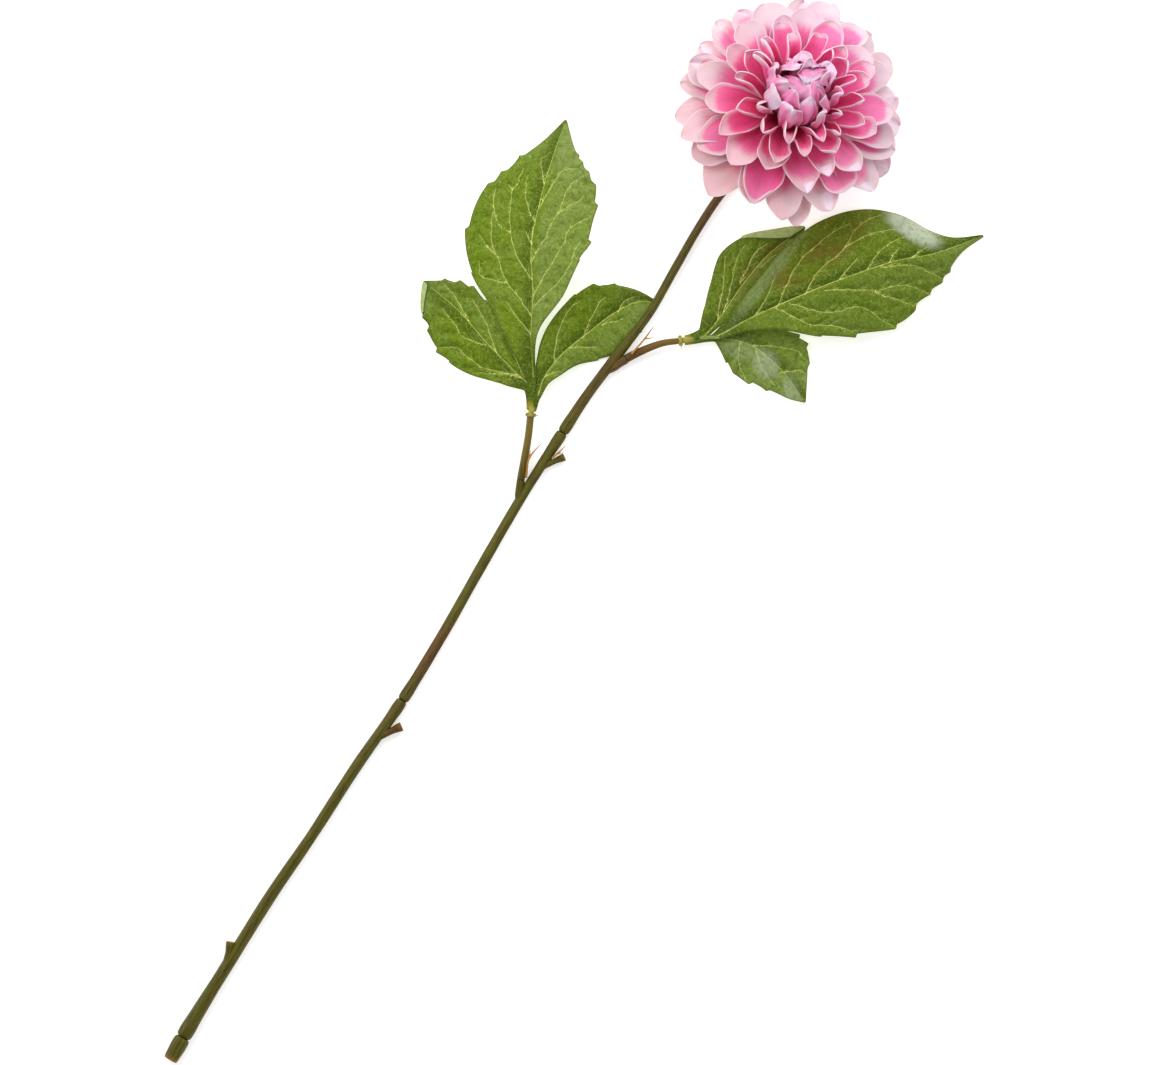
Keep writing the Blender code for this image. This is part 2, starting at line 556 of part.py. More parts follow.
def make_head(flower):
    """Calyx, bracts, post, petal discs and bud, on the head's own axis."""
    head = empty("head", flower, HEAD_CENTRE, (-HEAD_LEAN, 0.0, 0.0))
    green = material("calyx_plastic", CALYX_GREEN, PLASTIC_ROUGHNESS)
    socket, hole = STEM_RADII[-1][1] + CLEARANCE, PIN_RADIUS + CLEARANCE
    calyx = (
        (socket, SOCKET_TOP), (socket, CALYX_FOOT), (socket + CALYX_WALL, CALYX_FOOT), *CALYX_FLARE,
        (hole, CALYX_TOP), (hole, PIN_REST),
    )
    mesh_object("calyx", [turned(calyx, HEAD_SIDES)], green, head)
    post_end = POST_TOP + POST_CHAMFER
    post = (
        (PIN_RADIUS, PIN_REST + CLEARANCE), (PIN_RADIUS, POST_FOOT), (POST_RADIUS, POST_FOOT),
        (POST_RADIUS, POST_TOP), (POST_RADIUS - POST_CHAMFER, post_end),
    )
    core = material("post_plastic", POST_GREEN, PLASTIC_ROUGHNESS)
    mesh_object("post", [turned(post, HEAD_SIDES)], core, head)
    mesh_object("bract_disc", petal_disc(*BRACTS, pointed=True), green, head)
    pinks = (("outer_petal_fabric", OUTER_PINK), ("petal_fabric", MIDDLE_PINK), ("bud_fabric", BUD_PINK))
    for index, (name, *disc) in enumerate(DISCS):
        fabric, colour = pinks[(index >= OUTER_DISCS) + name.startswith("bud")]
        finish = material(fabric, colour, FABRIC_ROUGHNESS)
        mesh_object(name, petal_disc(*disc), finish, head)
    centre = [(radius, post_end + CLEARANCE + height) for radius, height in BUD_CENTRE]
    finish = material("bud_fabric", BUD_PINK, FABRIC_ROUGHNESS)
    mesh_object("bud_centre", [turned(centre, HEAD_SIDES)], finish, head)


def main():
    clear_scene()
    flower = empty("flower", None, (-CENTRE_X, -CENTRE_Y, 0.0))
    sections = make_stem(flower)
    carriers = {"left": sections["stem_middle"], "right": sections["stem_upper"]}
    for side, shape in STALKS.items():
        make_stalk(side, shape, carriers[side], flower)
    leaf = material("leaf_fabric", LEAF_GREEN, FABRIC_ROUGHNESS)
    for name, shape in LEAFLETS.items():
        mesh_object(name, leaflet(shape), leaf, flower)
    for name, points in SHOOTS.items():
        make_shoot(name, points, flower)
    make_head(flower)


if __name__ == "__main__":
    main()
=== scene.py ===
"""The looks of a fabric dahlia on its moulded stem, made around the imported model.

Shapes are worked out in millimetres on the stem's own axes: Y along the stem from its cut end, X
across it and Z up from the surface. A piece's mesh is put into metres, about the middle of the flower,
when it is finished.
"""

import math
from functools import partial

import bpy
import numpy as np
from mathutils import Matrix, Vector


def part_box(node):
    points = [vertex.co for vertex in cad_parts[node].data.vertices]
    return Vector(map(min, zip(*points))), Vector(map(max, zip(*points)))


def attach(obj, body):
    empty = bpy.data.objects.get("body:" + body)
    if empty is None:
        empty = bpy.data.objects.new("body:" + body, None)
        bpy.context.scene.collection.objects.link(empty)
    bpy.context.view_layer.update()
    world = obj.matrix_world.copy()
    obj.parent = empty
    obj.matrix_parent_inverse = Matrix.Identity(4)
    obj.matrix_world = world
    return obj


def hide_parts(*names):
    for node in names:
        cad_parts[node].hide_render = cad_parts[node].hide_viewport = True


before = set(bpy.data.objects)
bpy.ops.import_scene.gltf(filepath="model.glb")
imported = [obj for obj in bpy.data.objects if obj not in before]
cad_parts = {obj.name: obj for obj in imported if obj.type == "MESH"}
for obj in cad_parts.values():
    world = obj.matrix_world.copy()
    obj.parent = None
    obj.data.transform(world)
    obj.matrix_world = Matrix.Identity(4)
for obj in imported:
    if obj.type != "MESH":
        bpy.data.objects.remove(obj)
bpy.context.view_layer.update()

bl_info = {
    "name": "Fabric dahlia",
    "version": (1, 0, 0),
    "blender": (4, 5, 0),
    "location": "3D View > Sidebar > Dahlia",
    "description": "Builds the stem, leaves and petals of a fabric dahlia around its packed model",
    "category": "Add Mesh",
}

MM = 0.001
TURN = 2 * math.pi
CENTRE = np.array([10.6, 311.0, 0.0])  # of the whole flower, on the stem's axes: it becomes the origin
SEAT_SLACK = 0.0065  # metres by which a finished piece may pass the box of the node it stands for
LEAF_SLACK = 0.016  # the same for a leaflet, whose teeth, waves and folds the node lacks
SURFACE_GAP = 0.12  # that the lowest points keep over the surface
ANY_PHASE = 6.28  # a wave starts anywhere up to here


def srgb(red, green, blue):
    """A colour as shaders count it, from the 0 to 255 of a screen."""
    shares = (value / 255 for value in (red, green, blue))
    return tuple(((share + 0.055) / 1.055) ** 2.4 if share > 0.04 else share / 12.92 for share in shares)


def colour_property(name, description, screen):
    return bpy.props.FloatVectorProperty(
        name=name, description=description, subtype="COLOR", size=3, min=0.0, max=1.0, default=srgb(*screen),
    )


def length_property(name, description, metres):
    return bpy.props.FloatProperty(
        name=name, description=description, unit="LENGTH", min=0.0, default=metres,
    )


class StemSettings(bpy.types.PropertyGroup):
    """Sizes and colours of the moulded plastic."""

    ridge: length_property("Ridges", "Height of the lengthwise ridges of the stem", 0.00011)
    green: colour_property("Green", "The stem's olive green", (94, 89, 14))
    brown: colour_property("Brown", "The brown that the stem is tinted with", (104, 72, 32))
    # painted shade in the grooves of the stem, and the colour of its dark streaks
    dark: colour_property("Grooves", "Colour in the grooves of the stem", (56, 50, 8))
    cut: colour_property("Cut ends", "Colour where the stem was cut", (150, 112, 48))
    collar: colour_property("Collar", "The yellow collars under the leaves", (170, 164, 66))
    shoot: colour_property("Shoots", "The thin shoots in the axils", (196, 140, 58))
    calyx: colour_property("Calyx", "The calyx and its bracts", (92, 112, 44))
    core: colour_property("Post", "The post that the petals are threaded on", (150, 156, 92))


class LeafSettings(bpy.types.PropertyGroup):
    """Sizes and colours of the leaves."""

    thickness: length_property("Thickness", "Thickness of the leaf fabric", 0.00045)
    valley: length_property("Vein valleys", "Depth of the valleys that the veins lie in", 0.0007)
    green: colour_property("Green", "The blade's green", (102, 128, 6))
    deep: colour_property("Deep green", "The blade along its folds", (64, 88, 0))
    # also the painted shade along the blade's folds, beside the midrib and towards the foot
    pale: colour_property("Greyed green", "The blade's greyer patches", (128, 148, 74))
    vein: colour_property("Veins", "The printed veins", (218, 228, 124))
    # also the colour of the painted sheen on the half of a blade that faces the light
    under: colour_property("Underside", "The blade's pale underside", (186, 200, 134))
    tint: colour_property("Tint", "The reddish tint of the tallest leaf", (112, 92, 30))
    # painted reflection: the colour of the shine painted on the gloss patches
    gloss: colour_property("Gloss", "Where the coating shines", (196, 206, 182))


class PetalSettings(bpy.types.PropertyGroup):
    """Sizes and colours of the petals."""

    thickness: length_property("Thickness", "Thickness of the petal fabric", 0.00042)
    crimson: colour_property("Crimson", "At a petal's foot", (212, 52, 110))
    pink: colour_property("Pink", "Along the middle of a petal", (252, 96, 168))
    blush: colour_property("Blush", "Where the pink runs out", (250, 150, 200))
    pale: colour_property("Pale band", "The band round a petal's end", (238, 212, 225))
    white: colour_property("White band", "The band round the end of the outer petals", (235, 221, 227))
    rim: colour_property("Rim", "The thin rim", (252, 222, 236))
    lilac: colour_property("Lilac", "The ends of the bud's petals", (228, 200, 222))
    # painted shade: the colour that darkens the petals turned towards the stem, away from the light
    painted_shade: colour_property("Dull", "What the petals towards the stem are dulled by", (246, 226, 224))
    heart: colour_property("Heart", "The middle of the bud", (150, 84, 62))


class StageSettings(bpy.types.PropertyGroup):
    """The surface, lights and camera."""

    paper: colour_property("Paper", "The surface that the flower lies on", (252, 252, 252))
    distance: length_property("Camera distance", "Height of the camera over the surface", 6.0)
    field: length_property("Field", "Width of the surface that the camera sees", 0.575)
    turn: bpy.props.FloatProperty(
        name="Turn", description="How far the stem leans in the picture", subtype="ANGLE",
        default=math.radians(32),
    )
    key: bpy.props.FloatProperty(
        name="Key light", description="Power of the large light", min=0.0, default=14.0,
    )


# ---------------------------------------------------------------- lines and surfaces


def smooth(places, values, at):
    """Cubics between the given places, whose slopes at each place come from its neighbours."""
    places, values = np.asarray(places, float), np.asarray(values, float)
    slopes = np.gradient(values, places, axis=0)
    at = np.clip(np.asarray(at, float), places[0], places[-1])
    left = np.clip(np.searchsorted(places, at, side="right") - 1, 0, len(places) - 2)
    span = places[left + 1] - places[left]
    u = (at - places[left]) / span
    if values.ndim > 1:
        u, span = u[..., None], span[..., None]
    return (
        (2 * u**3 - 3 * u**2 + 1) * values[left]
        + (u**3 - 2 * u**2 + u) * span * slopes[left]
        + (3 * u**2 - 2 * u**3) * values[left + 1]
        + (u**3 - u**2) * span * slopes[left + 1]
    )


def step(low, high, value):
    """Rises from 0 at low to 1 at high as 3t^2 - 2t^3."""
    share = np.clip((np.asarray(value, float) - low) / (high - low), 0.0, 1.0)
    return share * share * (3 - 2 * share)


def unit(vectors):
    """Vectors of length one; one without length stays as it is."""
    size = np.linalg.norm(vectors, axis=-1, keepdims=True)
    return vectors / np.maximum(size, 1e-9)


def lengths(points):
    """Distance of each point from the first, along the line through them."""
    steps = np.linalg.norm(np.diff(points, axis=0), axis=1)
    return np.concatenate([[0.0], np.cumsum(steps)])


class Route:
    """A smooth line through a few points, read by the distance along it."""

    def __init__(self, points, across=(0, 0, 1)):
        points = np.asarray(points, float)
        chords = lengths(points)
        fine = np.linspace(0.0, chords[-1], 600)
        self.points = smooth(chords, points, fine)
        self.along = lengths(self.points)
        self.length = self.along[-1]
        self.across = np.asarray(across, float)

    def read(self, distances):
        inside = np.clip(distances, 0.0, self.length)
        return np.stack([np.interp(inside, self.along, self.points[:, axis]) for axis in range(3)], axis=-1)

    def at(self, distances):
        """Places, and two directions square to the line there. Past an end it runs on straight."""
        distances = np.asarray(distances, float)
        inside = np.clip(distances, 0.0, self.length)
        ahead = unit(self.read(inside + 0.5) - self.read(inside - 0.5))
        side = unit(self.across - (ahead @ self.across)[..., None] * ahead)
        place = self.read(inside) + (distances - inside)[..., None] * ahead
        return place, side, np.cross(ahead, side)


class Shape:
    """The closed parts of one piece: their points in millimetres, faces, and named values at the points."""

    def __init__(self):
        self.points, self.faces, self.values, self.count = [], [], [], 0

    def add(self, points, faces, **values):
        """Adds a closed part. Its faces are turned outwards by the sign of the volume that they close."""
        points = np.asarray(points, float).reshape(-1, 3)
        volume = 0.0
        for group in faces:
            first = points[group[:, 0]]
            for corner in range(1, group.shape[1] - 1):
                sides = np.cross(points[group[:, corner]], points[group[:, corner + 1]])
                volume += float(np.sum(first * sides))
        for group in faces:
            self.faces.append((group if volume > 0 else group[:, ::-1]) + self.count)
        self.points.append(points)
        self.values.append({name: np.asarray(value, float) for name, value in values.items()})
        self.count += len(points)

    def build(self, name, material):
        """The piece's object, at the origin, with its place in its mesh, in metres."""
        mesh = bpy.data.meshes.new(name)
        points = (np.concatenate(self.points) - CENTRE) * MM
        mesh.vertices.add(len(points))
        mesh.vertices.foreach_set("co", points.astype(np.float32).ravel())
        corners = np.concatenate([group.ravel() for group in self.faces]).astype(np.int32)
        totals = np.concatenate([np.full(len(group), group.shape[1]) for group in self.faces])
        mesh.loops.add(len(corners))
        mesh.loops.foreach_set("vertex_index", corners)
        mesh.polygons.add(len(totals))
        starts = np.concatenate([[0], np.cumsum(totals)[:-1]]).astype(np.int32)
        mesh.polygons.foreach_set("loop_start", starts)
        mesh.update(calc_edges=True)
        for key in sorted({key for part in self.values for key in part}):
            wide = any(part[key].ndim > 1 for part in self.values if key in part)
            width = 3 if wide else 1
            values = np.concatenate([
                part[key].reshape(len(points), width) if key in part else np.zeros((len(points), width))
                for part, points in zip(self.values, self.points)
            ])
            layer = mesh.attributes.new(key, "FLOAT_VECTOR" if wide else "FLOAT", "POINT")
            layer.data.foreach_set("vector" if wide else "value", values.astype(np.float32).ravel())
        mesh.validate()
        mesh.shade_smooth()
        mesh.materials.append(material)
        made = bpy.data.objects.new(name, mesh)
        bpy.context.scene.collection.objects.link(made)
        return made


def seat(piece, node, slack=SEAT_SLACK):
    """The piece stands for a node of the model, and has to lie where that node lies."""
    low, high = (np.array(corner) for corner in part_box(node))
    points = np.empty(3 * len(piece.data.vertices), np.float32)
    piece.data.vertices.foreach_get("co", points)
    points = points.reshape(-1, 3)
    past = max(float(np.max(low - points.min(0))), float(np.max(points.max(0) - high)))
    if past > slack:
        raise RuntimeError(f"{piece.name} passes the box of {node} by {1000 * past:.1f} mm")
    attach(piece, "root")
    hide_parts(node)
    return piece


def grid_quads(rows, columns, wrapped=False, looped=False):
    """Quads of a grid whose points are counted row by row.

    Where it is wrapped its last column joins its first, and where it is looped its last row does.
    """
    index = np.arange(rows * columns).reshape(rows, columns)
    if looped:
        index = np.concatenate([index, index[:1]])
    if wrapped:
        index = np.column_stack([index, index[:, :1]])
    return np.stack([index[:-1, :-1], index[1:, :-1], index[1:, 1:], index[:-1, 1:]], axis=-1).reshape(-1, 4)


def add_tube(shape, rings, **values):
    """A tube through rings of points, closed by a fan of triangles at the middle of each end ring."""
    rows, sides = rings.shape[:2]
    last = rows * sides
    around = np.arange(sides)
    fans = []
    for pole, ring, flip in ((last, 0, 1), (last + 1, (rows - 1) * sides, -1)):
        fan = np.stack([np.full(sides, pole), ring + around, ring + (around + 1) % sides], axis=-1)
        fans.append(fan[:, ::flip])
    poles = np.stack([rings[0].mean(0), rings[-1].mean(0)])
    full = {}
    for name, value in values.items():
        value = np.asarray(value, float)
        flat = value.reshape(rows * sides, *value.shape[2:])
        full[name] = np.concatenate([flat, value[:1].mean(1), value[-1:].mean(1)])
    faces = [grid_quads(rows, sides, wrapped=True), *fans]
    shape.add(np.concatenate([rings.reshape(-1, 3), poles]), faces, **full)


def sheet_parts(middle, thickness):
    """Points and faces of a sheet about a middle surface, and the number of each point's place on it.

    Its skins lie half the thickness to each side along the surface's normal, the cross product of its
    two slopes. Its rim has one more line of points, pushed out by half the thickness, so it is round.
    """
    rows, columns = middle.shape[:2]
    count = rows * columns
    normal = unit(np.cross(np.gradient(middle, axis=0), np.gradient(middle, axis=1)))
    half = 0.5 * np.broadcast_to(thickness, (rows, columns))[..., None]
    index = np.arange(count).reshape(rows, columns)
    rim = np.concatenate([index[:-1, 0], index[-1, :-1], index[:0:-1, -1], index[0, :0:-1]])
    flat, flat_normal = middle.reshape(-1, 3), normal.reshape(-1, 3)
    edge = flat[rim]
    ahead = np.roll(edge, -1, axis=0) - np.roll(edge, 1, axis=0)
    outward = unit(np.cross(ahead, flat_normal[rim]))
    out_points = edge + half.reshape(-1, 1)[rim] * outward
    points = np.concatenate([
        (middle + half * normal).reshape(-1, 3), (middle - half * normal).reshape(-1, 3), out_points,
    ])
    quads = grid_quads(rows, columns)
    here = np.arange(len(rim))
    following = np.roll(here, -1)
    upper = np.stack([rim, rim[following], 2 * count + following, 2 * count + here], axis=-1)
    lower = np.stack([count + rim, 2 * count + here, 2 * count + following, count + rim[following]], axis=-1)
    return points, [quads, quads[:, ::-1] + count, upper[:, ::-1], lower[:, ::-1]], rim


def add_sheet(shape, middle, thickness, **values):
    """Adds a closed sheet; a value given on its middle surface holds on both skins and the rim.

    The value under is 0 on the upper skin and 1 on the lower one, unless it is given.
    """
    points, faces, rim = sheet_parts(middle, thickness)
    size = middle.shape[:2]
    count = size[0] * size[1]
    full = {"under": np.concatenate([np.zeros(count), np.ones(count), np.full(len(rim), 0.5)])}
    for name, value in values.items():
        parts = np.shape(value)[2:]
        flat = np.broadcast_to(value, (*size, *parts)).reshape(count, *parts)
        full[name] = np.concatenate([flat, flat, flat[rim]])
    shape.add(points, faces, **full)


# ---------------------------------------------------------------- materials


class Value:
    """An output of a node. Arithmetic on it adds the Math nodes that work it out."""

    def __init__(self, shader, socket):
        self.shader, self.socket = shader, socket

    def math(self, operation, *values):
        return self.shader.add("ShaderNodeMath", {"operation": operation}, dict(enumerate(values)))

    def __add__(self, other):
        return self.math("ADD", self, other)

    def __radd__(self, other):
        return self.math("ADD", other, self)

    def __sub__(self, other):
        return self.math("SUBTRACT", self, other)

    def __rsub__(self, other):
        return self.math("SUBTRACT", other, self)

    def __mul__(self, other):
        return self.math("MULTIPLY", self, other)

    def __rmul__(self, other):
        return self.math("MULTIPLY", other, self)

    def __truediv__(self, other):
        return self.math("DIVIDE", self, other)

    def __pow__(self, other):
        return self.math("POWER", self, other)

    def __abs__(self):
        return self.math("ABSOLUTE", self)

    def step(self, low, high, start=0.0, end=1.0):
        """Runs smoothly from start, where it is low, to end, where it is high."""
        inputs = {"Value": self, "From Min": low, "From Max": high, "To Min": start, "To Max": end}
        return self.shader.add("ShaderNodeMapRange", {"interpolation_type": "SMOOTHSTEP"}, inputs)

    def scaled(self, x, y, z):
        """This vector with its parts multiplied."""
        return self.shader.add("ShaderNodeVectorMath", {"operation": "MULTIPLY"}, {0: self, 1: (x, y, z)})

    def moved(self, other):
        """This vector with another added."""
        return self.shader.add("ShaderNodeVectorMath", {"operation": "ADD"}, {0: self, 1: other})


class Shader:
    """A material with one Principled shader, and the nodes that feed it."""

    def __init__(self, name, **constants):
        self.material = bpy.data.materials.new(name)
        self.material.use_nodes = True
        self.nodes = self.material.node_tree.nodes
        self.links = self.material.node_tree.links
        self.surface = self.nodes["Principled BSDF"]
        for socket, value in constants.items():
            self.surface.inputs[socket.replace("_", " ")].default_value = value

    def add(self, kind, settings=None, inputs=None, output=0):
        """One node: its settings are set first, then the values or links of its sockets."""
        node = self.nodes.new(kind)
        for key, value in (settings or {}).items():
            setattr(node, key, value)
        for socket, value in (inputs or {}).items():
            self.set(node.inputs[socket], value)
        return Value(self, node.outputs[output])

    def set(self, socket, value):
        if isinstance(value, Value):
            self.links.new(value.socket, socket)
        elif socket.type == "RGBA":
            socket.default_value = (*value, 1.0)
        else:
            socket.default_value = value

    def feed(self, **inputs):
        """Links values to the surface's own sockets."""
        for socket, value in inputs.items():
            self.set(self.surface.inputs[socket.replace("_", " ")], value)

    def value(self, name):
        """A value that the piece's points carry."""
        return self.add("ShaderNodeAttribute", {"attribute_name": name}, output=2)

    def vector(self, name):
        return self.add("ShaderNodeAttribute", {"attribute_name": name}, output=1)

    def place(self):
        """The place on the piece, in metres."""
        return self.add("ShaderNodeTexCoord", output=3)

    def noise(self, vector, scale, detail=2.0, rough=0.5):
        inputs = {"Vector": vector, "Scale": scale, "Detail": detail, "Roughness": rough}
        return self.add("ShaderNodeTexNoise", None, inputs)

    def cells(self, vector, scale):
        """Distance to the nearest wall between cells."""
        inputs = {"Vector": vector, "Scale": scale}
        return self.add("ShaderNodeTexVoronoi", {"feature": "DISTANCE_TO_EDGE"}, inputs)

    def mix(self, share, first, second, blend="MIX"):
        """Colours mixed by a share of 0 to 1."""
        settings = {"data_type": "RGBA", "blend_type": blend}
        return self.add("ShaderNodeMix", settings, {0: share, 6: first, 7: second}, output=2)

    def paint(self, body, *layers):
        """Lays colours over a body one after another, each by its share of 0 to 1."""
        for share, colour in layers:
            body = self.mix(share, body, colour)
        return body

    def bump(self, height, metres, strength):
        return self.add("ShaderNodeBump", None, {"Height": height, "Distance": metres, "Strength": strength})


STEM_STREAK, STEM_SPECK, STEM_FADED = srgb(142, 130, 58), srgb(160, 150, 84), srgb(150, 122, 52)
COLLAR_CLOUD, SHOOT_CLOUD = srgb(136, 124, 40), srgb(158, 96, 40)
CALYX_CLOUD, POST_CLOUD = srgb(62, 84, 30), srgb(120, 122, 60)
LEAF_MARGIN, LEAF_FOOT = srgb(86, 84, 40), srgb(150, 146, 40)
# painted highlight: the whitish sheen laid into some petals near their ends
PETAL_PAINTED_SHEEN = srgb(246, 230, 246)
PAPER_GRAIN = (0.86, 0.86, 0.86)
# Heights of the finest relief, in metres
STEM_GRAIN, PLASTIC_GRAIN, FORK_GRAIN, LEAF_GRAIN, PETAL_GRAIN = 0.00035, 0.0003, 0.0004, 0.0003, 0.00035
# How many times a pattern repeats in a metre
LEAF_CLOUD, LEAF_MOTTLE, LEAF_FINE_NET, LEAF_BEADS, LEAF_SPECK = 75.0, 420.0, 980.0, 900.0, 1500.0
PETAL_CLOUD, PETAL_WASH, PETAL_WEAVE, PAPER_FIBRE = 90.0, 120.0, 2600.0, 900.0
LEAF_WOBBLE = 0.0012  # metres that the leaf's net is pushed about by


def stem_shader(name, settings):
    """Olive plastic with fine lengthwise streaks, brown zones, orange cut ends and painted shade in the
    grooves.
    """
    shader = Shader(name, Specular_IOR_Level=0.22)
    flow = shader.vector("flow")
    streak = shader.noise(flow.scaled(1.0, 1.0, 0.09), 1.5, 4.0, 0.65)
    zone = shader.noise(flow.scaled(1.0, 1.0, 0.35), 0.11, 2.0)
    speck = shader.noise(flow.scaled(1.0, 1.0, 0.4), 3.2, 2.0, 0.7)
    brown = (shader.value("brown") + (zone - 0.5) * 0.9).step(0.2, 0.95)
    body = shader.paint(
        settings.green,
        (brown, settings.brown),
        (streak.step(0.56, 0.36) * 0.75, settings.dark),
        (streak.step(0.6, 0.78) * 0.45, STEM_STREAK),
        (speck.step(0.64, 0.78) * 0.4, STEM_SPECK),
        # painted shade in the grooves, where the ribs lie low
        (shader.value("groove").step(0.2, 1.0) * 0.45, settings.dark),
        (shader.value("pale") * 0.4, STEM_FADED),
        (shader.value("cut"), settings.cut),
    )
    grain = shader.bump(streak * 0.7 + speck * 0.3, STEM_GRAIN, 0.7)
    shader.feed(Base_Color=body, Roughness=speck.step(0.3, 0.7, 0.36, 0.55), Normal=grain)
    return shader.material


def plastic_shader(name, colour, other):
    """Plastic of one colour that clouds and streaks towards another."""
    shader = Shader(name, Specular_IOR_Level=0.45)
    flow = shader.vector("flow")
    cloud = shader.noise(flow.scaled(1.0, 1.0, 0.3), 0.55, 3.0, 0.6)
    grain = shader.noise(flow.scaled(1.0, 1.0, 0.12), 3.0, 3.0, 0.6)
    shader.feed(
        Base_Color=shader.mix(cloud.step(0.35, 0.7), colour, other),
        Roughness=grain.step(0.3, 0.7, 0.34, 0.54),
        Normal=shader.bump(grain + cloud, PLASTIC_GRAIN, 0.5),
    )
    return shader.material


def fork_shader(settings, leaf):
    """The leaf's foot: yellow at the collar, then dark green."""
    shader = Shader("leaf foot", Roughness=0.5)
    mottle = shader.noise(shader.vector("flow"), 0.9, 3.0)
    along = (shader.value("along") + (mottle - 0.5) * 0.5).step(0.1, 0.6)
    body = shader.mix(along, settings.collar, leaf.deep)
    shader.feed(Base_Color=body, Normal=shader.bump(mottle, FORK_GRAIN, 0.6))
    return shader.material


def leaf_shader(settings):
    """Printed leaf fabric: mottled green, thin pale veins, a fine net, a pale underside, and painted shade,
    sheen and reflections.

    A vein is drawn where the distance to it, shared by its half width, falls under one. The beads
    break it up, and it fades out where another vein comes nearer.
    """
    shader = Shader("leaf fabric", Specular_IOR_Level=0.1)
    place = shader.place()
    ripple = {"Vector": place, "Scale": LEAF_MOTTLE, "Detail": 2.0}
    wobble = shader.add("ShaderNodeTexNoise", None, ripple, 1)
    bent = place.moved(wobble.scaled(LEAF_WOBBLE, LEAF_WOBBLE, LEAF_WOBBLE))
    cloud = shader.noise(place, LEAF_CLOUD, 3.0, 0.6)
    mottle = shader.noise(place, LEAF_MOTTLE, 3.0, 0.65)
    net = shader.cells(bent, LEAF_MOTTLE).step(0.09, 0.0)
    fine = shader.cells(bent, LEAF_FINE_NET).step(0.12, 0.0)
    beads = shader.noise(place, LEAF_BEADS, 2.0, 0.6)
    speck = shader.noise(place, LEAF_SPECK, 2.0, 0.7)
    side = abs(shader.value("vein"))
    width = shader.value("width")
    line = (side / (width * (0.2 + 0.6 * beads))).step(1.25, 0.7)
    glow = (side / width).step(2.6, 0.4) * 0.16
    near = shader.value("near").step(1.1, 0.8)
    vein = (line * beads.step(0.32, 0.54, 0.3, 1.0) + glow) * near * shader.value("strength")
    gloss = shader.value("gloss") * (cloud * 0.5 + mottle).step(0.3, 0.85)
    under = shader.value("under").step(0.3, 0.7)
    upper = shader.paint(
        settings.green,
        # painted sheen: a greyer green on the half of a blade that faces the light, and paler tips; cloud
        # adds real greyer patches
        (cloud.step(0.4, 0.7) * 0.25 + shader.value("grey") * 0.7, settings.pale),
        # painted shade along the folds beside the midrib and towards the foot, with each leaflet's own
        # darker tone
        (shader.value("deep") * (0.65 + 0.5 * mottle), settings.deep),
        (mottle.step(0.54, 0.34) * 0.5, settings.deep),
        (mottle.step(0.58, 0.74) * 0.08, settings.vein),
        (speck.step(0.62, 0.7) * 0.16, settings.vein),
        ((net * 0.24 + fine * 0.1) * beads.step(0.35, 0.65), settings.vein),
        (shader.value("tint") * cloud.step(0.3, 0.7), settings.tint),
        (vein, settings.vein),
        # painted reflection on the gloss patches
        (gloss * 0.85, settings.gloss),
        (shader.value("margin") * 0.5, LEAF_MARGIN),
        (shader.value("foot").step(0.6, 1.0), LEAF_FOOT),
    )
    lower = shader.paint(
        settings.under,
        (mottle.step(0.3, 0.7) * 0.5, settings.pale),
        (vein * 0.6, settings.vein),
    )
    shader.feed(
        Base_Color=shader.mix(under, upper, lower),
        Roughness=mottle.step(0.3, 0.7, 0.42, 0.6) - gloss * 0.12 + under * 0.15,
        Normal=shader.bump(mottle * 0.2 - net * 0.3 - vein * 0.6, LEAF_GRAIN, 0.8),
    )
    return shader.material


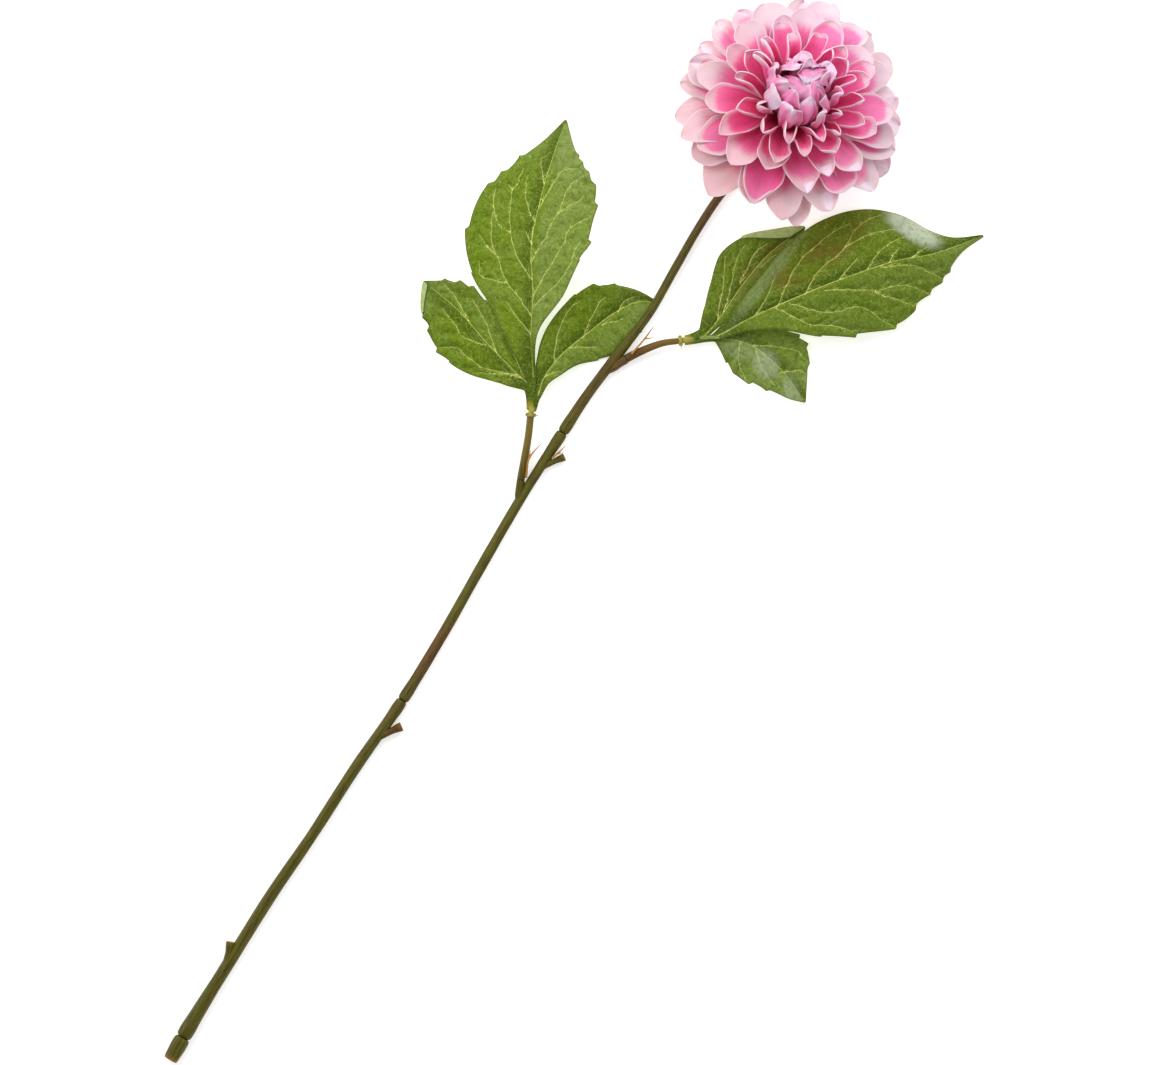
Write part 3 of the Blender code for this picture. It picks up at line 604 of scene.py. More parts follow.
def petal_shader(name, settings):
    """Dyed petal fabric: crimson foot, pink body, blush, a pale band round the end and a thin rim, with
    painted shade and painted highlights.
    """
    shader = Shader(
        name, Specular_IOR_Level=0.35, Sheen_Weight=0.25, Sheen_Roughness=0.35,
        Subsurface_Weight=0.3, Subsurface_Scale=0.002,
    )
    place, flow = shader.place(), shader.vector("flow")
    lilac, down = shader.value("lilac"), shader.value("down")
    bleed = shader.noise(flow.scaled(1.2, 0.22, 1.0), 0.75, 3.0, 0.6)
    streak = shader.noise(flow.scaled(1.0, 0.06, 1.0), 2.4, 3.0, 0.6)
    cloud = shader.noise(place, PETAL_CLOUD, 2.0)
    weave = shader.noise(place, PETAL_WEAVE, 1.0)
    pink = (shader.value("pink") + (bleed - 0.5) * (0.6 + 0.3 * lilac)).step(0.05, 0.95)
    depth = shader.value("along") + (bleed - 0.5) * 0.2 + (shader.value("tone") - 0.5) * 0.3
    # painted shade: the crimson foot is stronger on the petals turned away from the light
    foot = depth.step(0.6, 0.05) * (0.55 + 0.45 * down)
    dyed = shader.paint(
        settings.pink,
        (foot, settings.crimson),
        (depth.step(0.5, 0.95) * shader.value("fade"), settings.blush),
        # painted light: more blush on the petals turned towards the light
        ((1 - down) * 0.3, settings.blush),
        (streak.step(0.52, 0.75) * 0.3, settings.crimson),
        (streak.step(0.5, 0.3) * 0.2, settings.blush),
    )
    band = shader.paint(
        settings.pale,
        (lilac, settings.lilac),
        (shader.value("white"), settings.white),
        (cloud.step(0.4, 0.7) * 0.12, settings.blush),
    )
    wash = shader.noise(place, PETAL_WASH, 2.0, 0.55).step(0.42, 0.62)
    washed = wash * shader.value("under").step(0.3, 0.7) * lilac * (1 - foot)
    body = shader.mix(washed * 0.36, shader.mix(pink, band, dyed), settings.lilac)
    # painted shade: the petals turned away from the light are multiplied by this colour
    body = shader.mix(down, body, settings.painted_shade, "MULTIPLY")
    rim = shader.value("rim") * bleed.step(0.32, 0.56, 0.45, 1.0)
    # painted highlight: a whitish sheen near the ends of some petals
    satin = (shader.value("satin") * (0.55 + 0.9 * bleed)).step(0.25, 0.6)
    body = shader.paint(
        body,
        (rim * 0.9, settings.rim),
        (satin * 0.85, PETAL_PAINTED_SHEEN),
        (shader.value("heart"), settings.heart),
    )
    shader.feed(
        Base_Color=body,
        Roughness=bleed.step(0.3, 0.7, 0.5, 0.66) - satin * 0.2,
        Normal=shader.bump(bleed * 0.7 + streak * 0.9 + weave * 0.12, PETAL_GRAIN, 0.7),
    )
    return shader.material


# ---------------------------------------------------------------- stem, stalks and shoots

SECTIONS = ("stem_tip", "stem_lower", "stem_middle", "stem_upper")
STEM_PATH = (
    (-3.3, 0.0, 3.6), (-3.8, 14.0, 3.6), (-4.1, 60.0, 3.1), (-4.0, 100.0, 3.0), (-2.7, 130.0, 2.8),
    (-2.0, 175.0, 2.8), (-0.1, 214.0, 2.7), (-0.4, 252.0, 2.6), (-2.0, 290.0, 2.6), (-3.4, 335.0, 2.6),
    (-3.2, 370.0, 2.8), (-2.8, 390.0, 3.0), (-0.6, 416.0, 3.7), (2.0, 442.0, 4.0), (1.0, 470.0, 3.8),
    (0.2, 495.0, 3.5), (0.8, 512.0, 3.2), (3.4, 527.0, 3.1), (6.2, 539.0, 3.4),
)
STEM_RADII = (  # distance from the cut end, and the radius there
    (0, 3.6), (25, 3.5), (45, 3.1), (100, 3.0), (130, 2.8), (200, 2.7), (260, 2.55), (300, 2.5), (330, 2.4),
    (370, 2.65), (400, 2.5), (418, 2.6), (435, 2.05), (460, 2.1), (520, 2.05), (600, 2.0),
)
STEM_JOINTS = (13.0, 214.0, 370.0)
BROWN_ZONES = (  # middle and reach along the stem, and how brown
    (190.0, 50.0, 0.4), (245.0, 18.0, 0.9), (330.0, 10.0, 0.35), (398.0, 24.0, 0.6), (512.0, 42.0, 0.8),
)
RIBS = ((5, 0.9), (8, 0.7), (13, 0.5))  # turns of a rib's cosine round the stem, and its share of the ridge
KNUCKLES = ((0.35, 0.21), (0.3, 0.093))  # share of the ridge and speed of the slow waves along the stem
SECTION_ROUNDING, ROUNDING_STEPS, SECTION_STEP = 1.9, 8, 1.6
JOINED_SHARE, CUT_SHARE = 0.84, 0.86  # of the radius at the face of a section's end
SWELL, SWELL_AT, SWELL_REACH = 0.12, 4, 5  # of a section near a joint: share, distance from its end, width
STEM_SIDES, STALK_SIDES, SHOOT_SIDES = 36, 28, 12
# A neck's half length, its share of the stem's radius, and how far it is sunk
NECK_HALF, NECK_SHARE, NECK_SUNK = 0.35, 0.8, 0.3
BEND_RADIUS = 22.0
STUBS = {  # foot, tip, radius at the foot and at the tip, how brown
    "stem_lower": (
        ((-3.9, 54.0, 3.1), (-8.8, 66.2, 3.8), 1.8, 2.4, 0.1),
        ((-0.9, 192.0, 2.8), (6.6, 202.6, 3.4), 1.6, 2.2, 1.0),
    ),
    "stem_middle": (((-3.2, 349.5, 2.7), (4.2, 360.0, 3.0), 1.3, 1.9, 0.3),),
}
STALKS = {  # peg_at is how far along its route the peg of the stem ends and the stalk starts
    "left": {
        "section": "stem_middle",
        "route": (
            (-3.2, 326.5, 2.6), (-7.8, 337.5, 3.1), (-12.2, 348.5, 4.0), (-17.0, 360, 4.6),
            (-21.4, 369, 4.8),
        ),
        "peg_at": 13.0,
        "radii": (1.9, 1.7),
        "fork": ((-21.7, 369.6, 4.8), (-24.2, 375.0, 4.7), (-27.5, 380.5, 4.5)),
        "brown": 0.45,
    },
    "right": {
        "section": "stem_upper",
        "route": (
            (-1.0, 405.5, 3.5), (2.6, 414.5, 3.9), (9.0, 425.5, 4.6), (15.5, 434, 5.0), (22.6, 440, 4.9),
        ),
        "peg_at": 13.5,
        "radii": (2.2, 1.5),
        "fork": ((23.0, 440.4, 4.9), (29.0, 444.8, 4.8), (35.6, 449.2, 4.6)),
        "brown": 0.9,
    },
}
STUB_ROUNDING, STUB_END_STEPS, STUB_END_SHARES = 0.7, (0.35, 0.7, 0.92, 1.0), (0.97, 0.88)
PRESSED_SHARE = 0.96  # of its radius at the end where a stalk meets its peg
STALK_GAP, COLLAR_BACK, COLLAR_START = 0.05, 1.5, 0.3
FLASH_AT, COLLAR_FLASH = 1.3, ((0.35, 1.5), (2.5, 1.1), (4.0, 0.7))  # angle and reach of a collar's flash
FORK_RADII = ((0, 1.25), (0.05, 1.5), (0.35, 1.5), (0.7, 1.3), (0.97, 0.95), (1.0, 0.6))
COLLAR = (  # distance from the stalk's end, and the radius there
    (0.3, 0.9), (0.3, 2.1), (0.55, 2.55), (0.9, 2.7), (1.35, 2.45), (1.8, 2.65), (2.2, 2.45), (2.4, 1.4),
)
SHOOTS = {  # foot, fork, tip of the stem, tip of the twig
    "shoot_left": ((-6.7, 341.0, 4.8), (-10.4, 350.0, 7.4), (-9.2, 360.0, 8.2), (-12.0, 353.6, 8.0)),
    "shoot_right": ((5.2, 421.2, 7.0), (6.8, 431.0, 8.0), (7.4, 439.0, 8.8), (10.6, 434.2, 8.6)),
    "shoot_middle": ((-0.6, 356.6, 5.4), (0.3, 359.4, 5.9), (1.7, 365.0, 6.8), (2.6, 361.4, 6.4)),
}
SHOOT_RADII = (0.55, 0.42, 0.12)

HEAD_CENTRE = np.array([7.8, 565.0, 26.2])
HEAD_LEAN = math.radians(22)
HEAD_OVAL = 0.035
CALYX_FOOT, SOCKET_TOP = -11.0, -6.5


def from_head(points):
    """Points on the head's own axes, put on the stem's: leant towards +Y, then moved to the head."""
    cos, sin = math.cos(HEAD_LEAN), math.sin(HEAD_LEAN)
    x, y, z = points[..., 0], points[..., 1], points[..., 2]
    return np.stack([x, y * cos + z * sin, z * cos - y * sin], axis=-1) + HEAD_CENTRE


def head_axis(height):
    return from_head(np.array([0.0, 0.0, height]))


def stem_route():
    """The stem's middle line: its given places, then an arc up to the back of the head."""
    foot = head_axis(CALYX_FOOT)
    end_lift = 0.5 * math.pi - HEAD_LEAN
    points = list(STEM_PATH)
    for share in (0.35, 0.6, 0.8, 1.0):
        lift = end_lift * share
        reach = BEND_RADIUS * (math.sin(end_lift) - math.sin(lift))
        drop = BEND_RADIUS * (math.cos(lift) - math.cos(end_lift))
        points.append((foot[0] - 0.9 * (1 - share) ** 2, foot[1] - reach, foot[2] - drop))
    points.append(tuple(head_axis(SOCKET_TOP - 0.3)))
    return Route(points, (1, 0, 0))


def ribbed_tube(shape, route, distances, radii, sides, seed, ridge, **values):
    """A tube with lengthwise ribs, as a moulded stem has.

    At an angle a and a distance s, its radius is r(s) times one plus the ribs, and each rib is a
    cosine of a whole number of turns of a whose phase drifts slowly with s. Knuckles add a slow wave
    along the length. The value groove is high where the ribs lie low.
    """
    random = np.random.default_rng(seed)
    angles = TURN * np.arange(sides) / sides
    distances, radii = np.asarray(distances, float), np.asarray(radii, float)
    ribs = np.zeros((len(distances), sides))
    for turns, share in RIBS:
        phase, drift = random.uniform(0, ANY_PHASE), random.uniform(0.3, 0.9)
        speed = random.uniform(0.02, 0.05)
        wander = drift * np.sin(speed * distances + random.uniform(0, ANY_PHASE))
        ribs += share * np.cos(turns * (angles[None] + 0.15 * wander[:, None]) + phase)
    slow = sum(
        height * np.sin(speed * distances + random.uniform(0, ANY_PHASE)) for height, speed in KNUCKLES
    )
    full = radii[:, None] + ridge * (ribs + slow[:, None]) * np.minimum(1.0, radii / radii.max())[:, None]
    place, side, up = route.at(distances)
    circle = np.cos(angles)[None, :, None] * side[:, None] + np.sin(angles)[None, :, None] * up[:, None]
    rings = place[:, None] + full[..., None] * circle
    rings[..., 2] = np.maximum(rings[..., 2], SURFACE_GAP)
    along = np.broadcast_to(distances[:, None], full.shape)
    flow = np.stack([full * np.cos(angles), full * np.sin(angles), along], axis=-1)
    given = {
        name: np.broadcast_to(np.broadcast_to(value, len(distances))[:, None], full.shape)
        for name, value in values.items()
    }
    # groove is the share of painted shade, high where the ribs lie low
    add_tube(shape, rings, flow=flow, groove=step(0.4, 1.6, -ribs), **given)


def section_profile(start, end, at_start, at_end):
    """Distances and radii of a stem section: rounded ends, and half of a thin neck where it is joined.

    Over a rounded end the radius grows as the sine of a quarter turn. Near a joint it swells as a bell.
    """
    first, last = start + NECK_HALF * at_start, end - NECK_HALF * at_end
    arc = np.linspace(0.0, 0.5 * math.pi, ROUNDING_STEPS)
    rounding = SECTION_ROUNDING * (1 - np.cos(arc))
    inner = np.linspace(
        first + SECTION_ROUNDING, last - SECTION_ROUNDING, max(4, int((last - first) / SECTION_STEP)),
    )
    distances = np.concatenate([first + rounding, inner[1:-1], last - rounding[::-1]])
    start_share = JOINED_SHARE if at_start else CUT_SHARE
    end_share = JOINED_SHARE if at_end else 1.0
    shares = np.ones(len(distances))
    shares[:ROUNDING_STEPS] = start_share + (1 - start_share) * np.sin(arc)
    shares[-ROUNDING_STEPS:] = end_share + (1 - end_share) * np.sin(arc[::-1])
    swell = 1 + SWELL * at_start * np.exp(-(((distances - first - SWELL_AT) / SWELL_REACH) ** 2))
    swell += SWELL * at_end * np.exp(-(((distances - last + SWELL_AT) / SWELL_REACH) ** 2))
    places, radii = zip(*STEM_RADII)
    radius = np.interp(distances, places, radii) * shares * swell
    if at_start:
        neck = NECK_SHARE * np.interp(first, places, radii)
        distances = np.concatenate([[first - 2 * NECK_HALF - NECK_SUNK, first + NECK_SUNK], distances])
        radius = np.concatenate([[neck] * 2, radius])
    return distances, radius


def add_stub(shape, foot, tip, foot_radius, tip_radius, brown, ridge, seed):
    """A cut side branch: it swells where it leaves the stem, and flares a little to its cut end."""
    line = Route((foot, tip))
    body = line.length - STUB_ROUNDING
    distances = np.concatenate([np.linspace(0.0, body, 26), body + STUB_ROUNDING * np.array(STUB_END_STEPS)])
    share = distances / line.length
    radii = foot_radius * (1 + 0.35 * np.exp(-((share / 0.42) ** 2)))
    radii = radii + (tip_radius - foot_radius) * step(0.55, 0.97, share)
    radii[-2:] *= STUB_END_SHARES
    cut = np.where(share > 0.995, 1.0, 0.5 * step(0.8, 0.97, share))
    brown = brown * step(0.1, 0.5, share)
    ribbed_tube(shape, line, distances, radii, STALK_SIDES, seed, ridge, cut=0.8 * cut, brown=brown)


def add_peg(shape, stalk, ridge, seed):
    """The boss on a stem section that a leaf stalk is pushed onto."""
    along = np.linspace(0.0, stalk["peg_at"], 24)
    radii = stalk["radii"][0] * (0.5 + 0.5 * step(0.0, 7.0, along)) * (1 + 0.06 * step(9.0, 13.0, along))
    radii[-1] *= PRESSED_SHARE
    ribbed_tube(shape, Route(stalk["route"]), along, radii, STALK_SIDES, seed, ridge, brown=stalk["brown"])


def make_stem(settings):
    """The four sections, with their stubs and the bosses that carry the leaf stalks."""
    route = stem_route()
    finish = stem_shader("stem moulding", settings)
    ridge = settings.ridge / MM
    ends = (0.0, *STEM_JOINTS, route.length)
    for index, name in enumerate(SECTIONS):
        shape = Shape()
        lowest, highest = index == 0, index == len(SECTIONS) - 1
        distances, radii = section_profile(ends[index], ends[index + 1], not lowest, not highest)
        brown = sum(
            weight * np.exp(-(((distances - middle) / reach) ** 2)) for middle, reach, weight in BROWN_ZONES
        )
        cut = lowest * np.exp(-((distances / 1.6) ** 2))
        ribbed_tube(shape, route, distances, radii, STEM_SIDES, index, ridge, cut=cut, brown=brown)
        for number, stub in enumerate(STUBS.get(name, ())):
            add_stub(shape, *stub, ridge, 20 + 3 * index + number)
        for stalk in STALKS.values():
            if stalk["section"] == name:
                add_peg(shape, stalk, ridge, 40 + index)
        seat(shape.build(f"{name}_moulding", finish), name)


def make_stalks(stem, leaf):
    """Leaf stalks, their yellow collars with a little moulding flash, and the feet of the leaves."""
    finish = stem_shader("stalk moulding", stem)
    yellow = plastic_shader("collar plastic", stem.collar, COLLAR_CLOUD)
    foot = fork_shader(stem, leaf)
    ridge = stem.ridge / MM
    collar_places, collar_radii = (np.array(column) for column in zip(*COLLAR))
    for number, (side, stalk) in enumerate(STALKS.items()):
        line = Route(stalk["route"])
        first, end = stalk["peg_at"] + STALK_GAP, line.length - COLLAR_BACK
        distances = np.linspace(first, end + 1.0, 40)
        radii = np.linspace(*stalk["radii"], 40)
        radii[0] *= PRESSED_SHARE
        shape = Shape()
        ribbed_tube(shape, line, distances, radii, STALK_SIDES, 60 + number, 0.8 * ridge,
                    brown=stalk["brown"], pale=step(0.0, 22.0, distances - first))
        seat(shape.build(f"stalk_{side}_moulding", finish), f"stalk_{side}")
        shape = Shape()
        ribbed_tube(shape, line, end + collar_places, collar_radii, STALK_SIDES, 70 + number, 0.5 * ridge)
        place, across, up = line.at(end + FLASH_AT)
        for turn, reach in COLLAR_FLASH:
            way = math.cos(turn) * up + math.sin(turn) * across
            flash = Route((place + 2.2 * way, place + (2.7 + reach) * way), (0.3, 0.9, 0.1))
            along = np.linspace(0.0, flash.length, 6)
            ribbed_tube(shape, flash, along, 0.28 * np.linspace(1.3, 0.35, 6), 8, 80, 0.0)
        seat(shape.build(f"collar_{side}_moulding", yellow), f"collar_{side}")
        line = Route(stalk["fork"])
        share = np.linspace(0.0, 1.0, 24)
        distances = COLLAR_START + share * (line.length - COLLAR_START)
        radii = np.interp(share, *zip(*FORK_RADII))
        shape = Shape()
        ribbed_tube(shape, line, distances, radii, STALK_SIDES, 90 + number, ridge, along=share)
        seat(shape.build(f"leaf_fork_{side}_moulding", foot), f"leaf_fork_{side}")


def make_shoots(settings):
    """Thin forked shoots: a tapering stem and a side twig, each ending in a point."""
    finish = plastic_shader("shoot plastic", settings.shoot, SHOOT_CLOUD)
    thick, middle, thin = SHOOT_RADII
    for number, (name, (foot, fork, long_tip, short_tip)) in enumerate(SHOOTS.items()):
        shape = Shape()
        line = Route((foot, fork, long_tip))
        knee = float(np.linalg.norm(np.subtract(fork, foot)))
        distances = np.linspace(0.0, line.length, 40)
        places = (0.0, 1.0, knee - 1.0, knee, line.length)
        radii = np.interp(distances, places, (1.25 * thick, thick, middle, 1.2 * middle, thin))
        ribbed_tube(shape, line, distances, radii, SHOOT_SIDES, 100 + number, 0.04)
        twig = Route((fork, short_tip))
        along = np.linspace(0.0, twig.length, 16)
        radii = np.linspace(0.95 * middle, thin, 16)
        ribbed_tube(shape, twig, along, radii, SHOOT_SIDES, 110 + number, 0.03)
        seat(shape.build(f"{name}_moulding", finish), name)


# ---------------------------------------------------------------- leaves

# A leaflet's tables hold one number for each of these places from its foot to its tip: the midrib's
# height, the half widths to its left and right, and how far each edge rises over the midrib. Places on
# the blade are (t, a), as class Blade counts them. rib is the midrib's half width, dark and grey are
# shares of those colours (grey to the left and right), teeth are the t of each tooth, left and right.
# grey paints a sheen: a greyer green on the half of a blade that faces the light
PLACES = (0.0, 0.1, 0.2, 0.35, 0.5, 0.65, 0.8, 0.9, 1.0)
LEAFLETS = {
    "leaflet_left_large": {
        "rib": 0.26,
        "root": (-22.6, 371.0, 5.9),
        "midrib": ((-28.8, 383.2), (-42, 402), (-52, 420), (-66, 441), (-74, 462), (-81, 487), (-84.5, 503)),
        "height": (6.9, 8.4, 9.3, 9.5, 8.5, 6.5, 4.0, 2.2, 0.4),
        "left": (3.0, 8.0, 15.0, 26.0, 32.5, 29.5, 16.5, 7.0, 0.4),
        "right": (1.2, 1.5, 4.0, 17.0, 27.0, 28.0, 23.5, 10.0, 0.4),
        "left_edge": (-0.5, -1.2, -2.0, -4.5, -7.5, -5.5, -3.0, -1.5, 0.0),
        "right_edge": (0.5, 1.0, 2.0, 6.0, 8.0, 8.0, 6.0, 2.0, 0.0),
        "grid": (210, 48),
        "dark": 0.0,
        "grey": (0.0, 0.75),
        "teeth": ((0.54, 0.70, 0.75, 0.82), (0.56, 0.72, 0.80, 0.84, 0.87, 0.89)),
        "veins": (
            ((.18, .01), (.24, .39), (.30, .60)),
            ((.25, .03), (.31, .28), (.38, .45), (.45, .51), (.49, .57), (.55, .64), (.60, .70)),
            ((.38, .45), (.39, .66), (.41, .86), (.46, .84)),
            ((.48, .57), (.51, .71), (.53, .78)),
            ((.39, .03), (.44, .16), (.51, .27), (.55, .34), (.65, .47), (.70, .54), (.74, .56), (.78, .68)),
            ((.55, .34), (.56, .50), (.60, .65), (.66, .79), (.69, .83)),
            ((.70, .54), (.71, .68)),
            ((.52, .01), (.56, .11)),
            ((.60, 0), (.65, .17), (.71, .33), (.76, .45)),
            ((.75, .02), (.80, .20), (.84, .40)),
            ((.28, -.05), (.33, -.42), (.36, -.64), (.42, -.84), (.52, -.81), (.57, -.83)),
            ((.32, -.01), (.39, -.28), (.45, -.46), (.54, -.57), (.62, -.68), (.66, -.91)),
            ((.46, -.04), (.54, -.21), (.61, -.29), (.65, -.36), (.75, -.45), (.79, -.56), (.82, -.83)),
            ((.65, -.36), (.70, -.57), (.74, -.77)),
            ((.66, -.03), (.73, -.12), (.82, -.34), (.84, -.68)),
        ),
    },
    "leaflet_left_lower": {
        "rib": 0.26,
        "root": (-22.9, 371.2, 5.3),
        "midrib": ((-28.5, 380), (-40, 383), (-60, 388), (-80, 394), (-102, 397)),
        "height": (6.0, 5.4, 5.0, 4.4, 3.8, 3.0, 2.2, 1.6, 0.8),
        "left": (3.0, 6.5, 10.7, 17.0, 20.7, 20.5, 15.5, 11.0, 0.4),
        "right": (1.2, 4.0, 7.0, 10.5, 12.7, 13.5, 11.5, 6.5, 0.4),
        "left_edge": (-0.5, -1.5, -2.5, -3.5, -3.4, -2.6, -1.6, -0.8, 0.0),
        "right_edge": (0.0, 0.0, -0.5, -0.5, 0.5, 2.0, 2.4, 1.5, 0.0),
        "grid": (130, 30),
        "dark": 0.1,
        "grey": (0.0, 0.2),
        "teeth": ((0.59, 0.77, 0.86), (0.74, 0.82, 0.90)),
        "veins": (
            ((.12, 0), (.21, .45), (.30, .61), (.39, .61), (.53, .64), (.59, .84)),
            ((.41, .07), (.53, .31), (.66, .31), (.79, .29)),
            ((.09, 0), (.23, .63), (.33, .91)),
            ((.08, -.36), (.22, -.71), (.34, -.81)),
            ((.31, .01), (.48, -.41), (.62, -.60), (.69, -.67)),
            ((.60, -.03), (.74, -.21), (.88, -.69)),
        ),
    },
    "leaflet_left_inner": {
        "rib": 0.3,
        "root": (-22.0, 371.2, 5.4),
        "midrib": ((-23, 377.5), (-25.5, 388), (-25, 398), (-18, 421), (-12, 436), (-5, 446), (3, 450)),
        "height": (6.6, 6.4, 6.2, 5.4, 4.2, 2.6, 1.1, 0.7, 0.45),
        "left": (1.2, 3.6, 8.0, 14.5, 18.0, 18.5, 11.5, 4.5, 0.4),
        "right": (1.2, 3.0, 6.0, 9.5, 15.0, 17.0, 14.5, 9.5, 0.4),
        "left_edge": (-0.5, -0.8, -0.4, 2.0, 3.5, 3.5, 2.5, 0.5, 0.0),
        "right_edge": (0.0, 0.5, 0.0, -2.0, -3.2, -2.0, -0.6, -0.2, 0.0),
        "grid": (130, 30),
        "dark": 0.35,
        "grey": (0.0, 0.5),
        "teeth": ((0.71, 0.80), (0.58, 0.72, 0.82)),
        "veins": (
            ((.24, .01), (.32, .40), (.41, .67), (.50, .82), (.60, .79)),
            ((.48, -.03), (.51, .07), (.63, .35), (.72, .57)),
            ((.74, -.06), (.79, .18), (.86, .39)),
            ((.13, .01), (.22, -.72)),
            ((.37, -.04), (.50, -.54)),
            ((.61, -.08), (.74, -.29)),
        ),
    },
    "leaflet_right_large": {
        "rib": 0.38,
        "root": (24.4, 441.4, 5.6),
        "midrib": ((35.2, 449.8), (45, 466), (61, 490), (78, 513), (95, 533), (105, 542), (123, 564.5)),
        "height": (7.0, 9.8, 12.3, 14.5, 14.5, 12.5, 8.0, 4.0, 0.4),
        "left": (1.2, 7.0, 14.0, 25.0, 31.0, 28.5, 14.6, 4.7, 0.4),
        "right": (1.2, 4.5, 9.7, 23.0, 29.5, 30.0, 16.3, 4.7, 0.4),
        "left_edge": (0.0, -0.5, -1.5, -4.0, -9.0, -10.5, -6.0, -2.5, 0.0),
        "right_edge": (0.0, 0.5, 1.5, -2.0, -6.0, -7.0, -4.5, -2.0, 0.0),
        "grid": (210, 48),
        "dark": 0.7,
        "grey": (0.0, 0.25),
        "teeth": ((), (0.46, 0.61, 0.72, 0.78, 0.82, 0.85)),
        "veins": (
            ((.16, 0), (.22, .34), (.28, .66)),
            ((.24, -.07), (.30, .32), (.36, .56), (.45, .68), (.55, .78), (.58, .80)),
            ((.35, -.02), (.41, .24), (.53, .44), (.59, .68), (.68, .91)),
            ((.53, .45), (.65, .58), (.71, .64)),
            ((.48, .02), (.56, .22)),
            ((.58, .01), (.65, .26), (.73, .49)),
            ((.66, 0), (.70, .21)),
            ((.74, .01), (.80, .27)),
            ((.24, -.10), (.31, -.65), (.43, -.83), (.47, -.93)),
            ((.29, -.10), (.37, -.45), (.54, -.64), (.57, -.83), (.61, -.97)),
            ((.42, -.09), (.58, -.34), (.72, -.55), (.78, -.97)),
            ((.58, -.36), (.65, -.63), (.73, -.97)),
            ((.63, -.03), (.76, -.25), (.82, -.80)),
        ),
    },
    "leaflet_right_upper": {
        "rib": 0.3,
        "root": (24.2, 441.9, 5.3),
        "midrib": ((30.5, 447.4), (33, 460), (34, 480), (37, 500), (45, 521)),
        "height": (6.7, 6.3, 5.8, 5.2, 4.8, 4.4, 3.6, 2.6, 1.6),
        "left": (3.5, 7.0, 10.3, 14.0, 18.0, 15.5, 8.4, 4.5, 0.4),
        "right": (1.0, 2.0, 4.5, 8.0, 9.5, 9.0, 7.5, 5.0, 0.4),
        "left_edge": (-0.5, -1.0, -2.0, -3.4, -2.5, 0.5, 1.5, 1.0, 0.0),
        "right_edge": (-0.3, -1.0, -2.0, -2.6, -2.6, -2.0, -1.5, -1.0, 0.0),
        "grid": (130, 26),
        "dark": 0.5,
        "grey": (0.1, 0.5),
        "teeth": ((), ()),
        "veins": (
            ((.15, 0), (.18, .2), (.32, .45), (.51, .85)),
            ((.20, 0), (.30, .15), (.43, .37), (.64, .74)),
            ((.44, .10), (.55, .19), (.67, .37), (.74, .38)),
            ((.60, -.15), (.73, -.29)),
        ),
    },
    "leaflet_right_lower": {
        "rib": 0.26,
        "root": (24.6, 441.0, 5.2),
        "midrib": ((36.4, 449.6), (50, 456), (70, 455), (91.5, 447)),
        "height": (6.1, 6.0, 5.8, 5.4, 4.8, 3.8, 2.6, 1.6, 0.5),
        "left": (1.0, 2.5, 6.0, 13.0, 17.0, 17.5, 9.5, 5.0, 0.4),
        "right": (1.2, 9.5, 15.5, 16.5, 15.5, 13.0, 8.8, 5.5, 0.4),
        "left_edge": (0.0, -0.5, -1.0, -1.6, -1.6, -0.5, 0.5, 0.5, 0.0),
        "right_edge": (-0.5, -2.0, -4.0, -4.8, -4.2, -3.2, -2.0, -1.2, 0.0),
        "grid": (130, 30),
        "dark": 0.0,
        "grey": (0.65, 0.85),
        "teeth": ((0.57, 0.65, 0.76), (0.12, 0.53, 0.72)),
        "veins": (
            ((.22, -.03), (.25, -.56), (.49, -.95)),
            ((.34, .05), (.52, .44), (.72, .86)),
            ((.67, -.11), (.80, .87)),
            ((.38, -.06), (.57, -.46), (.73, -.66)),
        ),
    },
}
TOOTH = 1.9  # how far a tooth stands out
TOOTH_LEAD, TOOTH_DROP, TOOTH_BACK = 0.11, 0.006, 0.35  # in t before and after it, and a share between teeth
VEIN_STEP, VEIN_ZIGZAG = 2.2, 0.16
RIB_END, VEIN_END, TWIG_HALVES = 0.16, 0.19, (0.12, 0.07)  # half widths
SWELL_LIMIT = 4.0  # the blade swells up to this far from a vein
ROOT_HALF, ROOT_EDGE = 1.9, -1.3  # of every leaflet where it meets the collar
FOLD_RADIUS = 0.7
FAR_FROM_VEINS, VEIN_HALF = 3.0, 0.3  # the farthest distance to a vein that counts; a side vein's half width
FOLD_LIMIT = 0.9  # share of the blade's half width that a fold may cover, so it ends before the midrib
FOLDS = {  # folded margins: on the left, from and to which t, widths, share of the underside's colour
    "leaflet_left_lower": ((True, 0.88, 0.995, (0.4, 2.0, 3.4, 3.8), 1.0),),
    "leaflet_right_upper": ((True, 0.66, 0.995, (0.3, 3.2, 4.6, 5.0, 4.4), 1.0),),
    "leaflet_right_lower": ((True, -0.12, 0.1, (1.6, 2.4, 1.4, 0.3), 0.42),),
}
PATCHES = {  # glossy and tinted places: middle, length, width and turn in degrees, strength
    # gloss ovals are painted reflections, where a bent blade would catch the light
    "gloss": {
        "leaflet_right_large": ((91, 549, 15, 5.8, 0, 1.0), (43, 489, 32, 3.0, 84, 0.16)),
        "leaflet_right_lower": (
            (65, 452.5, 8, 6, -25, 0.42), (83, 447.5, 9, 4, -45, 0.3), (50, 452, 10, 5, 20, 0.2),
        ),
    },
    "tint": {
        "leaflet_right_large": ((61, 523, 19, 7, 68, 1.0), (56, 506, 24, 8, 60, 0.6)),
        "leaflet_right_upper": ((36, 492, 18, 6, 80, 0.5),),
    },
}


